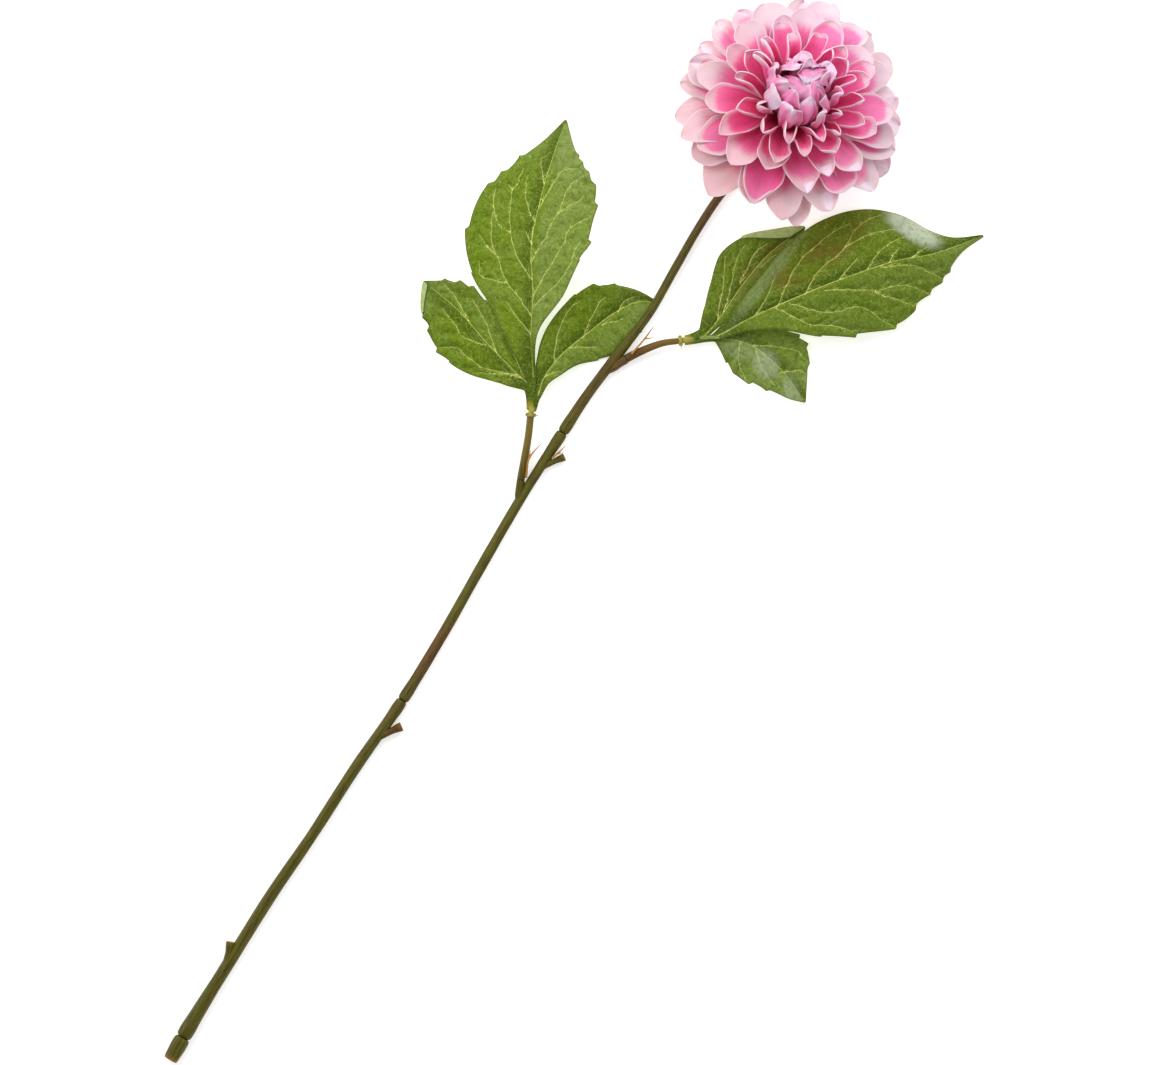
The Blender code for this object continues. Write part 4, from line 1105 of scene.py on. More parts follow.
class Blade:
    """A leaflet's surface, by t from foot to tip and a from -1 at its right margin to 1 at its left."""

    def __init__(self, shape):
        midrib = np.asarray(shape["midrib"], float)
        along = lengths(midrib)
        root = np.array(shape["root"][:2])
        self.shape, self.length = shape, along[-1]
        self.start = -float(np.linalg.norm(midrib[0] - root)) / self.length
        self.fine = np.linspace(self.start, 1.0, 400)
        places = np.concatenate([[self.start], along / along[-1]])
        self.line = smooth(places, np.vstack([root, midrib]), self.fine)
        ahead = unit(np.gradient(self.line, self.fine, axis=0))
        self.square = np.column_stack([-ahead[:, 1], ahead[:, 0]])

    def table(self, name, t, root):
        """A value of the blade, which runs on from its foot to the given one at the collar."""
        share = step(0.0, 1.0, np.minimum(t, 0.0) / self.start)
        return smooth(PLACES, self.shape[name], t) * (1 - share) + root * share

    def half_width(self, t, left):
        """The side's half width. At each tooth the margin stands out slowly and drops back at once."""
        width = np.where(left, self.table("left", t, ROOT_HALF), self.table("right", t, ROOT_HALF))
        for side, teeth in enumerate(self.shape["teeth"]):
            stops = (teeth[0] - TOOTH_LEAD, *teeth) if teeth else ()
            for before, tooth in zip(stops, stops[1:]):
                share = np.clip((t - before) / (tooth - before), 0.0, 1.0)
                out = TOOTH * np.where(t < tooth, share**2, np.exp(-(((t - tooth) / TOOTH_DROP) ** 2)))
                out = out - TOOTH_BACK * TOOTH * (t > before) * (t < tooth)
                width = width + np.where((side == 0) == left, out, 0.0)
        return width

    def plan(self, t, a):
        """Place on the ground: the midrib's point, moved square to it by a times the half width."""
        along = np.stack([np.interp(t, self.fine, self.line[:, axis]) for axis in (0, 1)], axis=-1)
        square = np.stack([np.interp(t, self.fine, self.square[:, axis]) for axis in (0, 1)], axis=-1)
        return along + (a * self.half_width(t, a >= 0))[..., None] * square

    def surface(self, t, a):
        """Height: the midrib's, plus the edge's own rise times |a| to the power 1.5."""
        left, right = (self.table(name, t, ROOT_EDGE) for name in ("left_edge", "right_edge"))
        edge = np.where(a >= 0, left, right)
        height = self.table("height", t, self.shape["root"][2]) + edge * np.abs(a) ** 1.5
        return np.concatenate([self.plan(t, a), height[..., None]], axis=-1)


def vein_field(points, lines):
    """For each point: the signed distance to the nearest vein, that vein's half width and strength.

    A vein is a chain of straight pieces. The distance to a piece is from the foot of the square to it,
    and its sign says on which side of the piece the point lies.
    """
    best = np.full(len(points), 1e3)
    signed, width = np.full(len(points), 1e3), np.full(len(points), VEIN_HALF)
    for line, start_width, end_width in lines:
        share = lengths(line) / max(lengths(line)[-1], 1e-6)
        sizes = start_width + (end_width - start_width) * share
        for first, second, size in zip(line[:-1], line[1:], sizes):
            way = second - first
            reach = points - first
            foot = np.clip(reach @ way / (way @ way), 0.0, 1.0)
            off = reach - foot[:, None] * way
            distance = np.hypot(off[:, 0], off[:, 1])
            closer = distance < best
            side = np.sign(way[0] * off[:, 1] - way[1] * off[:, 0])
            best = np.where(closer, distance, best)
            signed = np.where(closer, side * distance, signed)
            width = np.where(closer, size, width)
    return best, signed, width


def vein_lines(blade, random):
    """The midrib, side veins and their twigs on the ground, as chains of short pieces.

    Each chain comes with its half widths at its start and end. Side veins zigzag a little.
    """
    t = np.linspace(0.02, 0.985, 60)
    lines = [(blade.plan(t, np.zeros(60)), blade.shape["rib"], RIB_END)]
    for places in blade.shape["veins"]:
        places = np.asarray(places, float)
        chords = lengths(places * (blade.length, 20.0))
        count = max(4, int(chords[-1] / VEIN_STEP))
        even = smooth(chords, places, np.linspace(0.0, chords[-1], count))
        line = blade.plan(even[:, 0], even[:, 1])
        line[1:-1] += random.normal(0.0, VEIN_ZIGZAG, (count - 2, 2))
        lines.append((line, VEIN_HALF, VEIN_END))
        for index in range(1, count - 2, 2):
            way = line[index + 1] - line[index]
            side = np.array([-way[1], way[0]]) * random.choice([-1.0, 1.0])
            reach = random.uniform(0.8, 2.6)
            twig = line[index] + np.outer([0.0, 0.5, 1.0], way * reach + side * reach * 0.8)
            lines.append((twig, *TWIG_HALVES))
    return lines


def patch(points, ovals):
    """Highest of some soft ovals, each with a middle, length, width, turn and strength."""
    value = np.zeros(points.shape[:-1])
    for x, y, long, wide, turn, strength in ovals:
        cos, sin = math.cos(math.radians(turn)), math.sin(math.radians(turn))
        dx, dy = points[..., 0] - x, points[..., 1] - y
        off = np.hypot((dx * cos + dy * sin) / long, (dy * cos - dx * sin) / wide)
        value = np.maximum(value, strength * step(1.35, 0.6, off))
    return value


def add_fold(piece, blade, left, start, end, widths, pale, thickness):
    """A margin that is folded up and back over the blade, so that its pale underside shows.

    From the margin it goes out and up round half a turn of the bend's radius, and then back over the
    blade, at twice the radius over the blade's height, as far as its width there.
    """
    t = np.linspace(start, end, 44)
    sign = np.full(len(t), 1.0 if left else -1.0)
    half = np.maximum(blade.half_width(t, sign > 0)[:, None], 1.0)
    width = np.interp(t, np.linspace(start, end, len(widths)), widths)[:, None]
    width = np.minimum(width, FOLD_LIMIT * half)
    reach = np.linspace(0.0, 1.0, 16)[None, :]
    bend = math.pi * FOLD_RADIUS
    way = reach * (bend + width)
    angle = np.minimum(way, bend) / FOLD_RADIUS
    inward = np.maximum(way - bend, 0.0) - FOLD_RADIUS * np.sin(angle) * (way < bend)
    a = sign[:, None] * np.clip(1 - inward / half, 0.0, 1.4)
    ground = blade.surface(np.broadcast_to(t[:, None], a.shape), a)
    ground[..., 2] += FOLD_RADIUS * (1 - np.cos(angle)) + 0.25
    # the fold carries a share of the painted sheen as well
    add_sheet(piece, ground, thickness, near=FAR_FROM_VEINS, width=VEIN_HALF, grey=0.6, under=pale)


def make_leaflet(name, shape, settings, finish, seed):
    """A pressed fabric leaflet: teeth, vein valleys with the blade swelling between them, and waves.

    Near a vein at the distance d the blade sinks by the valley's depth times exp(-(d / 1.5)^2). Away
    from the veins it swells by a share of the depth times the distance, up to 4 mm.
    """
    random = np.random.default_rng(seed)
    blade = Blade(shape)
    thickness, depth = settings.thickness / MM, settings.valley / MM
    rows, half = shape["grid"]
    even = np.linspace(0.0, 1.0, half + 1)
    side = np.sin(0.5 * math.pi * even) * 0.35 + even * 0.65
    across = np.concatenate([-side[:0:-1], side])
    t, a = np.meshgrid(np.linspace(blade.start, 1.0, rows), across, indexing="ij")
    middle = blade.surface(t, a)
    fields = vein_field(middle[..., :2].reshape(-1, 2), vein_lines(blade, random))
    best, signed, width = (field.reshape(t.shape) for field in fields)
    inside = step(0.0, 0.12, 1 - np.abs(a)) * step(0.0, 0.12, t)
    raised = 0.9 * np.minimum(best, SWELL_LIMIT) / SWELL_LIMIT
    swell = depth * (raised - np.exp(-((best / 1.5) ** 2))) * inside
    x, y = middle[..., 0], middle[..., 1]
    wave = 0.35 * np.sin(0.21 * x + 0.13 * y + random.uniform(0, ANY_PHASE)) * np.sin(0.17 * y - 0.1 * x)
    phase = 2.0 * np.sign(a) + random.uniform(0, ANY_PHASE)
    margin = 0.5 * np.abs(a) ** 3 * np.sin(0.34 * blade.length * t + phase)
    middle[..., 2] += swell + (wave + margin) * step(0.1, 0.3, t) * step(1.0, 0.9, t)
    middle[..., 2] = np.maximum(middle[..., 2], 0.5 * thickness + SURFACE_GAP)
    reach = blade.half_width(t, a >= 0)
    from_midrib, from_margin = np.abs(a) * reach, (1 - np.abs(a)) * reach
    # painted shade: darker beside the midrib on the left half, where the blade folds, and darker towards the
    # foot
    deep = 0.75 * np.exp(-((from_midrib - 1.8) / 3.2) ** 2) * (a > 0) + 0.9 * step(0.18, 0.02, t)
    # painted sheen: a greyer green on the half of the blade that faces the light; below, paler towards the
    # tip
    grey = np.where(a >= 0, *shape["grey"]) * step(0.02, 0.2, np.abs(a)) * step(0.05, 0.25, t)
    piece = Shape()
    add_sheet(
        piece, middle, thickness,
        vein=np.clip(signed, -FAR_FROM_VEINS, FAR_FROM_VEINS),
        near=np.minimum(best, FAR_FROM_VEINS),
        width=width,
        strength=step(0.04, 0.2, width) * step(1.0, 0.9, t),
        deep=np.clip(deep + 0.45 * shape["dark"], 0, 1),
        grey=grey + 0.75 * step(0.72, 0.95, t) * (1 - 0.5 * shape["dark"]),
        foot=step(0.0, 1.0, t / blade.start),
        margin=np.exp(-((from_margin / 0.4) ** 2)),
        **{key: patch(middle, places.get(name, ())) for key, places in PATCHES.items()},
    )
    for fold in FOLDS.get(name, ()):
        add_fold(piece, blade, *fold, thickness)
    seat(piece.build(f"{name}_blade", finish), name, LEAF_SLACK)


# ---------------------------------------------------------------- head

PETAL_DISCS = (
    # node, half width, curl in degrees, line from the hub to the tip, and its petals' directions in degrees
    ("petal_disc_1", 9.6, 16, ((6.5, -1.5), (34, 5.0), (58.5, -3.5)),
        (-144, -101, -57, -1, 43, 86, 134, 173)),
    ("petal_disc_2", 9.6, 18, ((6.5, -0.1), (33, 8.0), (57.5, 1.0)),
        (-159, -119, -66, -13, 27, 75, 116, 160)),
    ("petal_disc_3", 9.6, 22, ((6.5, 1.3), (32, 10.5), (57.0, 5.0)),
        (-171, -133, -82, -39, 10, 58, 99, 148)),
    ("petal_disc_4", 9.4, 28, ((6.5, 2.7), (30, 12.0), (53.0, 9.5)),
        (-168, -124, -80, -28, 14, 52, 84, 136)),
    ("petal_disc_5", 8.8, 36, ((6.5, 4.1), (28, 13.0), (48.0, 15.0)),
        (-146, -105, -53, -14, 30, 68, 110, 156)),
    ("petal_disc_6", 8.2, 50, ((6.5, 5.5), (26.5, 13.6), (43.5, 19.0)),
        (-121, -80, -40, 5, 56, 90, 130, 178)),
    ("petal_disc_7", 7.6, 78, ((6.5, 6.9), (24.0, 14.5), (36.0, 26.0)),
        (-124, -82, -31, 2, 48, 84, 130, 176)),
    ("petal_disc_8", 7.0, 108, ((6.5, 8.3), (21.8, 15.3), (30.8, 30.5)),
        (-99, -59, -17, 22, 64, 106, 150, 200)),
    ("petal_disc_9", 6.6, 125, ((6.5, 9.7), (20.0, 16.2), (26.2, 34.5)),
        (-124, -78, -40, 2, 44, 88, 134, 178)),
)
# How a petal differs from the others of its disc, by its direction
PETAL_CHANGES = {
    "petal_disc_1": {
        -1: dict(satin=0.8, painted_sheen_at=0.3, crease=1.6, ruffle=2.0, ragged=0.09),
        43: dict(satin=0.5, crease=1.4, crease_at=-0.3, ruffle=1.8, ragged=0.09),
        173: dict(satin=0.5, crease=1.6, crease_at=0.2),
        134: dict(satin=0.4, crease=1.4),
    },
    "petal_disc_2": {
        -159: dict(crease=1.2),
        116: dict(crease=1.3, crease_at=0.2),
        -13: dict(satin=0.9, painted_sheen_at=-0.3, crease=1.6, ruffle=1.8),
        27: dict(satin=0.9, painted_sheen_at=-0.2, crease=1.8, crease_at=0.2, ruffle=2.0),
        160: dict(satin=0.6, crease=1.6),
    },
    "petal_disc_3": {
        -171: dict(satin=1.0, painted_sheen_at=-0.4, crease=2.0, crease_at=-0.2),
        148: dict(satin=0.6, painted_sheen_at=-0.5, crease=1.4, crease_at=-0.5),
        10: dict(satin=0.7, painted_sheen_at=0.2, crease=1.8),
        -39: dict(satin=0.7, roll=14),
    },
    "petal_disc_4": {
        136: dict(band=13.0),
        -168: dict(band=12.0),
        -124: dict(band=3.6),
        -80: dict(band=2.0, hem=0.8, wider=0.1, point=0.5),
        -28: dict(band=2.4, hem=1.0, blunt=1.0, point=0.0),
    },
    "petal_disc_5": {
        156: dict(band=11.0),
        110: dict(band=9.0),
        -53: dict(satin=0.6, painted_sheen_at=0.3, point=0.5),
        -14: dict(satin=1.0, painted_sheen_at=-0.2, point=0.6),
    },
    "petal_disc_6": {
        130: dict(band=9.0),
        178: dict(band=8.0),
        -40: dict(satin=1.0, painted_sheen_at=0.1, point=0.5, band=9.0),
    },
    "petal_disc_7": {
        130: dict(recurve=40),
        -82: dict(recurve=30),
        48: dict(recurve=25),
    },
    "petal_disc_8": {
        106: dict(recurve=50),
        150: dict(recurve=60),
        200: dict(recurve=70, band=4.0),
        -59: dict(recurve=60, band=4.0),
    },
    "petal_disc_9": {
        178: dict(recurve=90, band=5.0),
        134: dict(recurve=80, band=4.0),
        -78: dict(recurve=75, band=5.0),
        -40: dict(recurve=60, band=3.0),
        44: dict(recurve=50),
    },
}
BUD_DISCS = (
    ("bud_disc_outer", 6.9, 62, ((6.5, 11.1), (18.6, 13.2), (23.4, 36.0), (14.6, 41.0)),
     (-128, -80, -30, 20, 74, 126, 178)),
    ("bud_disc_middle", 6.5, 58, ((6.5, 12.5), (15.8, 14.2), (21.6, 39.6), (7.6, 42.4)),
     (-104, -52, 0, 50, 102, 154, 206)),
    ("bud_disc_inner", 5.8, 50, ((6.5, 13.9), (12.0, 16.2), (17.0, 41.0), (-0.5, 41.0)),
     (-110, -50, 10, 70, 130, 190)),
)
FOLDED_OVER = dict(recurve=165, turn_span=0.09, turns_at=0.86, lip=-0.4, curl=0.8, band=8.0, wider=-0.1)
BUD_RECURVES = (35, 20, 0)  # the most that a petal of each bud disc turns back, in degrees
BUD_CHANGES = {
    "bud_disc_outer": {
        -128: dict(
            band=11.0, hem=1.8, blunt=1.6, point=0.0, roll=-6, wider=-0.15, curl=0.6, skew=0.0, pleat=0.2,
        ),
        -80: dict(band=2.4, blunt=0.9, wider=0.1, roll=4, crease=1.8, crease_at=0.1),
        -30: dict(band=3.0, wider=-0.35, roll=26, recurve=40),
        20: dict(band=2.0, wider=-0.3, roll=-34, recurve=70, curl=1.7),
        74: dict(FOLDED_OVER, tip=(-8.0, 0.0), roll=10, crease=0.8),
        126: dict(FOLDED_OVER, tip=(-9.0, 0.0), roll=-8, crease=0.9, crease_at=0.3),
        178: dict(band=3.0, recurve=20, roll=14, point=0.5, wider=-0.1),
    },
    "bud_disc_middle": {
        -104: dict(band=1.4, roll=-12, point=0.7, crease=1.4),
        -52: dict(band=4.4, crease=1.6, point=0.6),
        0: dict(wider=-0.35, roll=30, recurve=50, curl=1.6),
        50: dict(wider=-0.2, roll=-24, recurve=60, curl=1.3, tip=(-2.0, 0.0)),
        102: dict(FOLDED_OVER, roll=18, tip=(-5.0, -0.4), turns_at=0.88),
        154: dict(band=3.0, roll=-24, recurve=30, tip=(-2.0, 0.0)),
        206: dict(band=4.0, roll=18, recurve=20, crease=1.4),
    },
    "bud_disc_inner": {
        -50: dict(point=0.9, crease=1.4),
        70: dict(band=3.0, crease=1.6, roll=14),
        130: dict(band=3.0, roll=20, crease=1.2),
        10: dict(crease=1.2, point=0.8),
    },
}
OUTER_DISCS, INNER_DISC = 3, 6  # how many discs count as outer ones, and the first of the inner ones
# petals turned to this direction get the most painted light, and those turned away the most painted shade
BRIGHTEST = 80  # the direction of the brightest petals, in degrees
HUB_RADIUS, HUB_HOLE, HUB_THICKNESS, HUB_SIDES = 6.5, 3.6, 0.9, 48
HUB_PROFILE = (  # radius, and height as a share of the thickness
    (HUB_HOLE, -0.5), (HUB_RADIUS, -0.5), (HUB_RADIUS + 0.25, 0.0), (HUB_RADIUS, 0.5), (HUB_HOLE, 0.5),
)
BRACTS = (4.6, 30, ((6.5, -2.55), (14.0, -2.2), (20.0, -8.0)), (20, 65, 110, 155, 200, 245, 290, 335))
# Turned profiles, as (distance from the head's axis, height)
CALYX_PROFILE = (
    (2.35, -6.5), (2.35, -10.9), (3.0, -11.0), (3.6, -10.6), (4.2, -9.6), (5.2, -8.2), (6.6, -7.1),
    (8.2, -5.9), (9.2, -4.8), (9.5, -3.8), (9.2, -3.35), (3.0, -3.3), (2.5, -4.6),
)
POST_PROFILE = ((2.2, -4.8), (2.2, -3.0), (3.4, -3.0), (3.4, 15.4), (3.1, 15.9), (2.4, 16.1))
BUD_PROFILE = (
    (3.0, 16.5), (4.6, 17.6), (5.6, 20.6), (5.9, 24.4), (5.4, 27.4), (4.4, 30.4), (3.2, 32.8), (1.9, 34.0),
    (0.7, 34.3),
)
TURNED_SIDES, TURNED_SEED, TURNED_RIDGE = 48, 5, 0.03
AXIS_START, AXIS_LENGTH = -20.0, 60.0
BUD_SIDES, BUD_START = 40, 10.0
# By disc from the back: widths of the pale band round a petal's end and along its sides, how far its pink
# runs out into blush, and how white the band is
BANDS = (12.5, 11.5, 9.5, 7.5, 6.5, 6.0, 4.5, 2.6, 2.0)
HEMS = (3.6, 3.0, 2.6, 1.8, 1.5, 1.3, 1.0, 0.7, 0.6)
FADES = (1.0, 1.0, 0.95, 0.9, 0.8, 0.65, 0.4, 0.2, 0.15)
WHITES = (1.0, 1.0, 0.9, 0.5, 0.3, 0.1, 0.0, 0.0, 0.0)


def bezier(points, u):
    """Points of the curve that the control points span."""
    points = np.asarray(points, float)
    order = len(points) - 1
    weights = [math.comb(order, i) * u**i * (1 - u) ** (order - i) for i in range(order + 1)]
    return sum(np.outer(weight, point) for weight, point in zip(weights, points))


def petal_width(u, point, blunt):
    """Share of the half width at u: it widens from the foot to 1 at two thirds, then closes at the tip.

    Past u = start the share is (1 - x^a)^b, with x from 0 there to 1 at the tip. Pointed petals have a
    low a and a high b, round ones the reverse, and blunt ones start later.
    """
    body = smooth((0.0, 0.12, 0.25, 0.5, 0.68, 1.0), (0.24, 0.28, 0.46, 0.86, 1.0, 1.0), u)
    start = 0.62 + 0.2 * blunt - 0.08 * point
    x = np.clip((u - start) / (1 - start), 0.0, 1.0)
    power = 2.1 - 0.5 * point + 0.9 * blunt
    return np.maximum(body * (1 - x**power) ** (0.5 + 0.3 * point), 0.03)


def turned(x, y, angle):
    """A place in a plane, turned about its middle by an angle."""
    cos, sin = np.cos(angle), np.sin(angle)
    return x * cos - y * sin, x * sin + y * cos


def add_petal(shape, line, half_width, curl, hub_direction, direction, thickness, look, random):
    """One petal, by u from the hub to the tip and v from -1 to 1 across it.

    Its middle follows the line, given as distance from the axis and height. Across, it is an arc of
    the half width w: sideways w sin(c v) / c, and towards the inside w (1 - cos(c v)) / c, where c is
    the curl, which grows along the petal. Waves, a pleat and a turned-back lip are added to the second.
    """
    rows, columns = look["grid"]
    u = 1 - (1 - np.linspace(0.0, 1.0, rows)[:, None]) ** 1.55
    k = np.linspace(-1.0, 1.0, columns)
    v = 0.45 * k + 0.55 * np.sin(0.5 * math.pi * k)
    points = np.asarray(line, float).copy()
    points[1:, 0] = HUB_RADIUS + (points[1:, 0] - HUB_RADIUS) * (1 + look["longer"])
    points[-1] += look["tip"]
    curve = bezier(points, u[:, 0])
    turning = step(look["turns_at"], look["turns_at"] + look["turn_span"], u[1:, 0])
    legs = np.column_stack(turned(*np.diff(curve, axis=0).T, -np.radians(look["recurve"]) * turning))
    curve = curve[:1] + np.concatenate([[[0.0, 0.0]], np.cumsum(legs, axis=0)])
    ahead = unit(np.gradient(curve, u[:, 0], axis=0))
    width = half_width * petal_width(u, look["point"], look["blunt"]) * (1 + look["wider"])
    bend = math.radians(curl * look["curl"]) * (0.25 + 0.75 * step(0.1, 0.75, u))
    far = step(0.35, 0.9, u)
    phase = random.uniform(0, ANY_PHASE, 6)
    ragged = np.sin(11 * u + phase[4]) + np.sin(19 * u + phase[5] + 2 * v)
    uneven = 1 + far * (look["skew"] * v + look["ragged"] * ragged)
    side = width * uneven * np.sin(bend * v) / bend
    lift = width * uneven * (1 - np.cos(bend * v)) / bend
    ruffle = np.sin(15 * u + phase[0] + 1.4 * np.sign(v)) * np.abs(v) ** 2.2
    lift = lift + look["ruffle"] * far * ruffle
    lift = lift + look["pleat"] * np.cos(2.6 * math.pi * v + phase[1]) * np.sin(math.pi * u)
    lift = lift + look["wave"] * np.sin(5.0 * u + phase[2]) * far
    lip = look["lip"] * step(0.86, 1.0, u) ** 1.5 * (1 + 0.3 * np.sin(3.0 * v + phase[3]))
    crease = look["crease"] * np.maximum(0.0, 1 - np.abs(v - look["crease_at"]) / 0.3) * far
    side, lift = turned(side, lift + lip - crease, math.radians(look["roll"]) * u)
    side = side + look["bow"] * (u**2)
    distance = curve[:, :1] - lift * ahead[:, 1:]
    height = curve[:, 1:] + lift * ahead[:, :1]
    way = hub_direction + np.sin(0.5 * math.pi * u) * (math.radians(direction) - hub_direction)
    x, y = turned(distance, side, way)
    radius, angle = np.hypot(x, y), np.arctan2(y, x)
    radius = radius - np.maximum(radius - HUB_RADIUS, 0.0) * HEAD_OVAL * np.cos(2 * angle)
    placed = from_head(np.stack([radius * np.cos(angle), radius * np.sin(angle), height], axis=-1))
    placed[..., 2] = np.maximum(placed[..., 2], 0.5 * thickness + SURFACE_GAP)
    span = lengths(curve)[:, None] + 0 * v
    from_tip, from_side = np.maximum(span[-1] - span, 0.0), (1 - np.abs(v)) * width
    inner = 1 / np.sqrt((look["band"] / (from_tip + 0.05)) ** 2 + (look["hem"] / (from_side + 0.05)) ** 2)
    edge = np.minimum(from_tip, from_side)
    # where across the petal its painted highlight lies
    gleam = np.exp(-(((v - look["painted_sheen_at"]) / 0.6) ** 2))
    add_sheet(
        shape, placed, thickness,
        pink=step(0.45, 1.5, inner),
        rim=look["edging"] * np.exp(-((edge / look["rim"]) ** 2)) * step(0.3, 0.6, u),
        satin=look["satin"] * step(0.55, 0.75, u) * step(0.95, 0.55, inner) * gleam,
        along=u,
        flow=np.stack([v * width, span, np.full(span.shape, look["tone"] * 40)], axis=-1),
        **{name: look[name] for name in ("tone", "fade", "down", "lilac", "white", "heart")},
    )


def add_turned(shape, profile, sides, start, **values):
    """A turned solid on the head's axis, from (radius, height) points."""
    axis = Route((head_axis(start), head_axis(start + AXIS_LENGTH)), (1, 0, 0))
    radii, heights = (np.array(column, float) for column in zip(*profile))
    ribbed_tube(shape, axis, heights - start, radii, sides, TURNED_SEED, TURNED_RIDGE, **values)


def add_hub(shape, height):
    """The ring that a disc's petals grow from: a short tube round the post, with a wall all round."""
    radii, shares = np.array(HUB_PROFILE).T[..., None]
    turns = TURN * np.arange(HUB_SIDES) / HUB_SIDES
    levels = height + shares * HUB_THICKNESS + 0 * turns
    rings = from_head(np.stack([radii * np.cos(turns), radii * np.sin(turns), levels], axis=-1))
    count = levels.size
    faces = grid_quads(len(HUB_PROFILE), HUB_SIDES, wrapped=True, looped=True)
    shape.add(rings, [faces], pink=np.ones(count), along=np.zeros(count), tone=np.full(count, 0.4))


def petal_look(index, direction, random):
    """How one petal of a disc differs from the next; discs count from the back of the head.

    Petals that point down the stem are more pointed and painted in shade, and the rest are round.

    longer, wider and curl are shares by which a petal differs. roll is how far it turns about its own
    line and recurve how far it turns back past turns_at, in degrees. bow moves its tip sideways, and tip
    outwards and upwards. skew makes one side wider, and ragged makes the margin wavy. ruffle, pleat,
    wave, lip and crease are heights of its folds. band and hem are widths of the pale band at its end
    and sides, rim and edging the width and strength of its thin rim, and satin shines at painted_sheen_at.
    point and blunt are those of petal_width, and the others are shares of its colours; satin is a painted
    highlight and down the share of painted shade.
    """
    outer, inner = index < OUTER_DISCS, index >= INNER_DISC
    # down is the share of painted shade, growing away from BRIGHTEST; it also shapes the petal
    down = 0.5 - 0.5 * math.cos(math.radians(direction - BRIGHTEST))
    return {
        "grid": (38, 23), "longer": random.normal(0, 0.03), "wider": random.normal(0, 0.07),
        "roll": random.normal(0, 7.0 if outer else 9.0), "bow": random.normal(0, 1.8),
        "tip": (0.0, random.normal(0, 1.2)), "skew": random.normal(0, 0.12),
        "curl": random.uniform(0.8, 1.2),
        "point": float(np.clip(0.5 * step(0.6, 1.0, down) + random.normal(0.0, 0.12), 0, 1)),
        "blunt": random.uniform(0.6, 1.2) if inner else random.uniform(0.2, 0.8),
        "ruffle": 1.1 if outer else 0.5, "pleat": 0.2, "wave": random.normal(0, 0.8 if outer else 0.4),
        "lip": 0.12 * index, "recurve": 0.0, "turns_at": 0.8, "turn_span": 0.16,
        "crease": 0.0, "crease_at": 0.0, "ragged": 0.055,
        "band": BANDS[index] * random.uniform(0.6, 1.35) * (0.75 + 0.4 * down),
        "hem": HEMS[index] * random.uniform(0.7, 1.3), "rim": 0.4 if inner else 0.34,
        "edging": 1.0 if inner else 0.6, "tone": random.uniform(0.1, 0.9), "down": down,
        "fade": FADES[index], "white": WHITES[index], "lilac": 0.0, "satin": 0.0, "painted_sheen_at": 0.0,
        "heart": 0.0,
    }


def bud_look(index, direction, random):
    """How a petal of the bud differs: its margin is ruffled, and its end may turn back."""
    look = petal_look(len(PETAL_DISCS) - 1, direction, random)
    look.update(
        grid=(52, 23), blunt=random.uniform(0.3, 1.1), point=random.uniform(0.0, 0.6),
        roll=random.normal(0, 12), skew=random.normal(0, 0.2), longer=random.normal(0, 0.03),
        wider=random.normal(0.0, 0.1), recurve=random.uniform(0, BUD_RECURVES[index]), turns_at=0.78,
        tip=(random.normal(0, 0.8), random.normal(0, 0.6)), band=random.uniform(1.0, 3.0), hem=0.6,
        bow=random.normal(0, 1.4), ruffle=1.2, pleat=0.9, lip=0.0, ragged=0.09, rim=0.46, lilac=1.0,
        # the bud's petals get less painted shade
        white=0.0, fade=0.9, down=0.4 * look["down"],
    )
    return look


def bract_look(direction, random):
    """How a bract differs: it is small, pointed and nearly flat."""
    look = petal_look(0, direction, random)
    look.update(
        grid=(24, 13), point=1.0, blunt=0.0, wave=0.1, bow=random.normal(0, 0.4), tip=(0, 0), ruffle=0.15,
    )
    return look


def even_directions(directions):
    """Where the petals stand on their hub, which is evenly, about the middle of their own directions."""
    count = len(directions)
    first = np.mean(np.radians(directions)) - math.pi / count * (count - 1)
    return first + TURN / count * np.arange(count)


def disc_shape(disc, changes, thickness, seed, look_for):
    """A hub ring and its petals. look_for gives a petal's look, and changes alter it by its direction."""
    half_width, curl, line, directions = disc
    random = np.random.default_rng(seed)
    shape = Shape()
    add_hub(shape, line[0][1])
    for on_hub, direction in zip(even_directions(directions), directions):
        look = {**look_for(direction, random), **changes.get(direction, {})}
        add_petal(shape, line, half_width, curl, on_hub, direction, thickness, look, random)
    return shape


def make_petal_disc(index, settings, finish):
    """One disc of eight petals that share a hub ring."""
    name, *disc = PETAL_DISCS[index]
    changes = PETAL_CHANGES.get(name, {})
    shape = disc_shape(disc, changes, settings.thickness / MM, 300 + index, partial(petal_look, index))
    seat(shape.build(f"{name}_petals", finish), name)


def make_bud(settings, finish):
    """Three discs of petals that close over the middle, some with their ends turned back, and the heart."""
    for index, (name, *disc) in enumerate(BUD_DISCS):
        changes = BUD_CHANGES[name]
        shape = disc_shape(disc, changes, settings.thickness / MM, 400 + index, partial(bud_look, index))
        seat(shape.build(f"{name}_petals", finish), name)
    shape = Shape()
    add_turned(shape, BUD_PROFILE, BUD_SIDES, BUD_START, heart=1.0, pink=1.0)
    seat(shape.build("bud_centre_heart", finish), "bud_centre")


